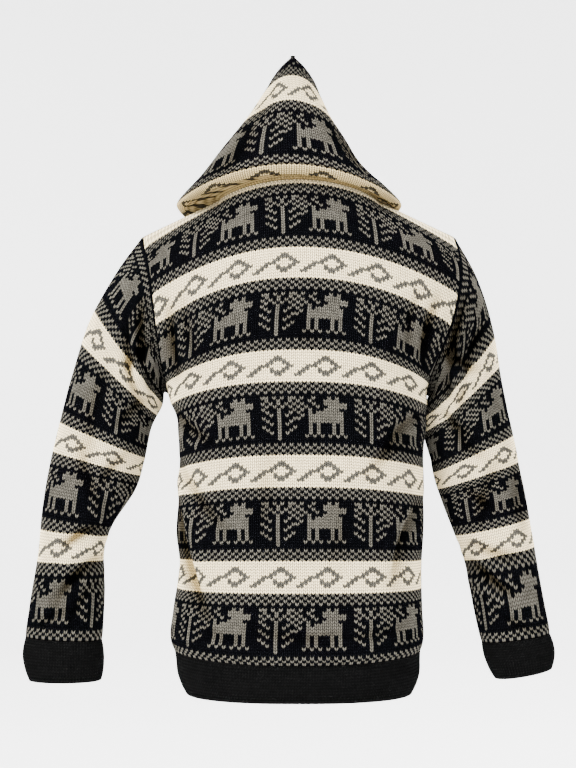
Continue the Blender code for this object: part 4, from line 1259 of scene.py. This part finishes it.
def make_tapes():
    """The two woven zip tapes, behind the edges of the fronts."""
    middle, forward, _ = zip_line()
    middle, forward = middle[2:-2:3], forward[2:-2:3]
    across = np.linspace(*TAPE_EDGES, 12)
    curve = (TAPE_CURVE * across ** 2)[:, None]
    for name, side in (("zip_tape_left_twill", 1), ("zip_tape_right_twill", -1)):
        out = across[:, None] * (side, 0.0, 0.0)
        face = np.array([point + out + ahead * curve for point, ahead in zip(middle, forward)])
        half = forward[:, None, :] * 0.5
        points = np.vstack([(face + half).reshape(-1, 3), (face - half).reshape(-1, 3)])
        rows, columns = face.shape[:2]
        index = np.arange(rows * columns).reshape(rows, columns)
        index2 = index + rows * columns
        faces, faces2 = skin_faces(index, side > 0)[0], skin_faces(index2, side < 0)[0]
        everything = np.vstack([faces, faces2, rims_between(index, index2, points)[:, ::side]])
        grid = np.stack(np.meshgrid(across, lengths_along(middle)), axis=-1).reshape(-1, 2)
        pattern = np.tile(grid, (2, 1))[everything.ravel()]
        bake = pattern / (40.0, 700.0)
        bake[len(faces) * 3:, 0] += 0.5
        colours = np.tile(TAPE_BLACK, (len(everything), 1))
        filled_object(name, points * MM, everything, colours, {"OFBake": bake, "stitches": pattern})


def one_tooth():
    """A tooth: a jaw round the tape's edge and a rounded head, made once."""
    bpy.ops.object.select_all(action="DESELECT")
    bpy.ops.mesh.primitive_cube_add(size=1.0)
    tooth = bpy.context.object
    tooth.scale = TOOTH_SIZE
    bpy.ops.object.transform_apply(location=False, rotation=False, scale=True)
    bpy.ops.object.mode_set(mode="EDIT")
    bpy.ops.mesh.select_all(action="SELECT")
    bpy.ops.mesh.bevel(offset=TOOTH_BEVEL, segments=1)
    bpy.ops.object.mode_set(mode="OBJECT")
    points = np.array([vertex.co[:] for vertex in tooth.data.vertices])
    head = points[:, 0] > 0.0
    points[head, 2] *= 0.8
    tooth.data.calc_loop_triangles()
    faces = np.array([triangle.vertices[:] for triangle in tooth.data.loop_triangles])
    bpy.data.objects.remove(tooth, do_unlink=True)
    return points, faces


def make_teeth():
    """The closed teeth, from the box up to the slider."""
    points, faces = one_tooth()
    middle, forward, rise = zip_line()
    length = lengths_along(middle)
    low = np.interp(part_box("zip_chain")[0][2] * 1000.0, middle[:, 2], length)
    high = np.interp(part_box("zip_chain")[1][2] * 1000.0, middle[:, 2], length)
    all_points, all_faces = [], []
    for number, at in enumerate(np.arange(low + 0.9, high - 0.9, TOOTH_PITCH)):
        place, ahead, up = (read_along(line, length, at)[0] for line in (middle, forward, rise))
        side = 1 if number % 2 else -1
        basis = np.array([(side, 0.0, 0.0), ahead * side, up])
        moved = place + (points - (0.7, 0.0, 0.0)) @ basis
        all_faces.append(faces + len(all_points) * len(points))
        all_points.append(moved)
    plain_object("zip_teeth", np.vstack(all_points) * MM, np.vstack(all_faces))


def plain_object(name, points, faces):
    """Object from triangles, for metal and thread."""
    mesh = bpy.data.meshes.new(name)
    mesh.from_pydata(points.tolist(), [], faces.tolist())
    mesh.update()
    mesh.shade_smooth()
    mesh.set_sharp_from_angle(angle=math.radians(40.0))
    item = bpy.data.objects.new(name, mesh)
    bpy.context.collection.objects.link(item)
    return item


def make_sewing():
    """The rows of thread that hold the tapes to the fronts."""
    turn = np.arange(6) / 6.0 * 2.0 * math.pi
    around = np.stack([np.cos(turn), np.sin(turn)], axis=1)
    offsets, lifts, radii = np.array(SEWN_RINGS).T
    corner = np.arange(12)
    right = corner // 6 * 6 + (corner + 1) % 6
    quads = np.stack([corner, right, right + 6, corner + 6], axis=1)
    triangles = np.vstack([quads[:, (0, 1, 2)], quads[:, (0, 2, 3)]])
    for name, side in (("zip_sewing_left", 1), ("zip_sewing_right", -1)):
        cloth = FRONT_CLOTHS[side]
        points, faces = [], []
        for number, row in enumerate(np.arange(1.0, NECK_FRONT_ROW - 4.0, 0.95)):
            s = np.full(3, side * (FRONT_EDGE + SEWING_LINE))
            base = cloth.read(cloth.points, s, row + offsets)
            normals = cloth.read(cloth.normals, s, row + offsets)
            normals /= np.linalg.norm(normals, axis=1, keepdims=True)
            along = base[2] - base[0]
            along /= np.linalg.norm(along)
            plane = np.array([np.cross(normals[1], along), normals[1]])
            for centre, radius in zip(base + normals * lifts[:, None], radii):
                points.append(centre + around @ plane * radius)
            faces.append(triangles + 18 * number)
        plain_object(name, np.vstack(points) * MM, np.vstack(faces))


def thread(name):
    """Black sewing thread."""
    material, shader, shade = new_material(name, 0.6)
    solid = shade.node("ShaderNodeTexCoord", output=3)
    colour = tinted(shade, THREAD_BLACK, noise(shade, solid, 2500.0, 2.0) * 1.2 + 0.4)
    feed(shade, shader, Base_Color=colour)
    return material


make_body()
make_sleeves()
make_hem()
make_hood()
make_tapes()
make_teeth()
make_sewing()

# Piece: the node it stands for, its slot, and its flat width, length and area if it is cloth
PIECES = {
    "back_knit": ("back", "patterned_knit", (0.51, 0.66), 0.315),
    "front_left_knit": ("front_left", "patterned_knit", (0.25, 0.66), 0.15),
    "front_right_knit": ("front_right", "patterned_knit", (0.25, 0.66), 0.15),
    "sleeve_left_knit": ("sleeve_left", "patterned_knit", (0.49, 0.57), 0.21),
    "sleeve_right_knit": ("sleeve_right", "patterned_knit", (0.49, 0.55), 0.20),
    "hood_knit": ("hood", "patterned_knit", (0.62, 0.26), 0.13),
    "cuff_left_knit": ("cuff_left", "black_knit", (0.30, 0.058), None),
    "cuff_right_knit": ("cuff_right", "black_knit", (0.28, 0.056), None),
    "hem_back_knit": ("hem_back", "black_knit", (0.49, 0.053), None),
    "hem_left_knit": ("hem_left", "black_knit", (0.24, 0.053), None),
    "hem_right_knit": ("hem_right", "black_knit", (0.24, 0.053), None),
    "zip_tape_left_twill": ("zip_tape_left", "zip_tape", (0.016, 0.60), None),
    "zip_tape_right_twill": ("zip_tape_right", "zip_tape", (0.016, 0.60), None),
    "zip_teeth": ("zip_chain", "zip_metal", None, None),
}
MATERIALS = {
    "patterned_knit": wool("patterned_wool"),
    "black_knit": wool("black_wool"),
    "zip_tape": woven_tape(),
    "zip_metal": zip_metal("satin_nickel", 900.0),
}
for name, (node, slot, flat, area) in PIECES.items():
    piece = bpy.data.objects[name]
    piece.data.materials.append(MATERIALS[slot])
    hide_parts(node)
    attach(piece, "garment")
THREAD = thread("black_thread")
for name in ("zip_sewing_left", "zip_sewing_right"):
    piece = bpy.data.objects[name]
    piece.data.materials.append(THREAD)
    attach(piece, "garment")
for node in ("zip_slider", "zip_stop_left", "zip_stop_right", "zip_box", "pull_tab"):
    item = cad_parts[node]
    for place in range(len(item.material_slots)):
        item.material_slots[place].material = MATERIALS["zip_metal"]
    soft = item.modifiers.new("soft_edges", "BEVEL")
    soft.width = 0.00025
    soft.segments = 2
    soft.limit_method = "ANGLE"


def make_stage():
    """A pale floor that curves up into a pale wall all round."""
    count = 96
    turn = np.arange(count) / count * 2.0 * math.pi
    points = [(0.0, 0.0, 0.0)]
    for radius, height in STAGE_PROFILE:
        points.extend((radius * math.cos(a), radius * math.sin(a), height) for a in turn)
    faces = [(0, 1 + i, 1 + (i + 1) % count) for i in range(count)]
    for ring in range(len(STAGE_PROFILE) - 1):
        low, high = 1 + ring * count, 1 + (ring + 1) * count
        for i in range(count):
            j = (i + 1) % count
            faces.append((low + i, low + j, high + j))
            faces.append((low + i, high + j, high + i))
    floor = plain_object("floor", np.array(points) + (0.0, 0.0, FLOOR_HEIGHT), np.array(faces)[:, ::-1])
    floor.data.flip_normals()
    floor.data.shade_smooth()
    material, shader, _ = new_material("pale_floor", 0.9)
    shader.inputs["Base Color"].default_value = (0.88, 0.88, 0.88, 1.0)
    shader.inputs["Emission Color"].default_value = (1.0, 1.0, 1.0, 1.0)
    shader.inputs["Emission Strength"].default_value = 0.95
    floor.data.materials.append(material)


def add_light(name, place, size, power):
    """A soft round light that faces the middle of the garment."""
    data = bpy.data.lights.new(name, "AREA")
    data.energy = power
    data.shape = "DISK"
    data.size = size
    light = bpy.data.objects.new(name, data)
    light.location = place
    light.rotation_euler = face_direction(np.array(LIGHT_TARGET) - place)
    bpy.context.collection.objects.link(light)


def face_direction(away):
    """Turn that points an object's -Z along a direction, with +Y up."""
    return Vector(away).to_track_quat("-Z", "Y").to_euler()


# The stage's outline as distances out and heights, and the lights, in metres
FLOOR_HEIGHT = -1.05
STAGE_PROFILE = ((2.6, 0.0), (3.4, 0.06), (4.0, 0.28), (4.5, 0.75), (4.75, 1.5), (4.8, 5.0))
LIGHT_TARGET = (0.0, 0.0, -0.3)
LIGHTS = (
    ("key", (1.9, 1.9, 1.7), 0.9, 310.0),
    ("fill", (-1.9, 2.2, 0.4), 1.8, 48.0),
    ("front_key", (-1.9, -1.9, 1.7), 0.9, 270.0),
    ("front_fill", (1.9, -2.0, 0.2), 1.8, 30.0),
    ("top", (0.0, 0.4, 2.6), 1.4, 90.0),
)
make_stage()
for light in LIGHTS:
    add_light(*light)
world = bpy.data.worlds.new("studio")
world.use_nodes = True
world.node_tree.nodes["Background"].inputs["Color"].default_value = (1.0, 1.0, 1.0, 1.0)
world.node_tree.nodes["Background"].inputs["Strength"].default_value = 0.5
bpy.context.scene.world = world

# The camera stands behind the wearer, as in the photo. Its picture takes in this height
# at the wearer's middle
CAMERA_DISTANCE = 2.0
VIEW_HEIGHT = 1.0368
camera_data = bpy.data.cameras.new("camera")
camera_data.sensor_fit = "VERTICAL"
camera_data.sensor_height = 36.0
camera_data.lens = camera_data.sensor_height * CAMERA_DISTANCE / VIEW_HEIGHT
camera = bpy.data.objects.new("camera", camera_data)
camera.location = (0.0135, CAMERA_DISTANCE, -0.33)
camera.rotation_euler = face_direction((0.0, -CAMERA_DISTANCE, 0.102))
bpy.context.collection.objects.link(camera)
bpy.context.scene.camera = camera
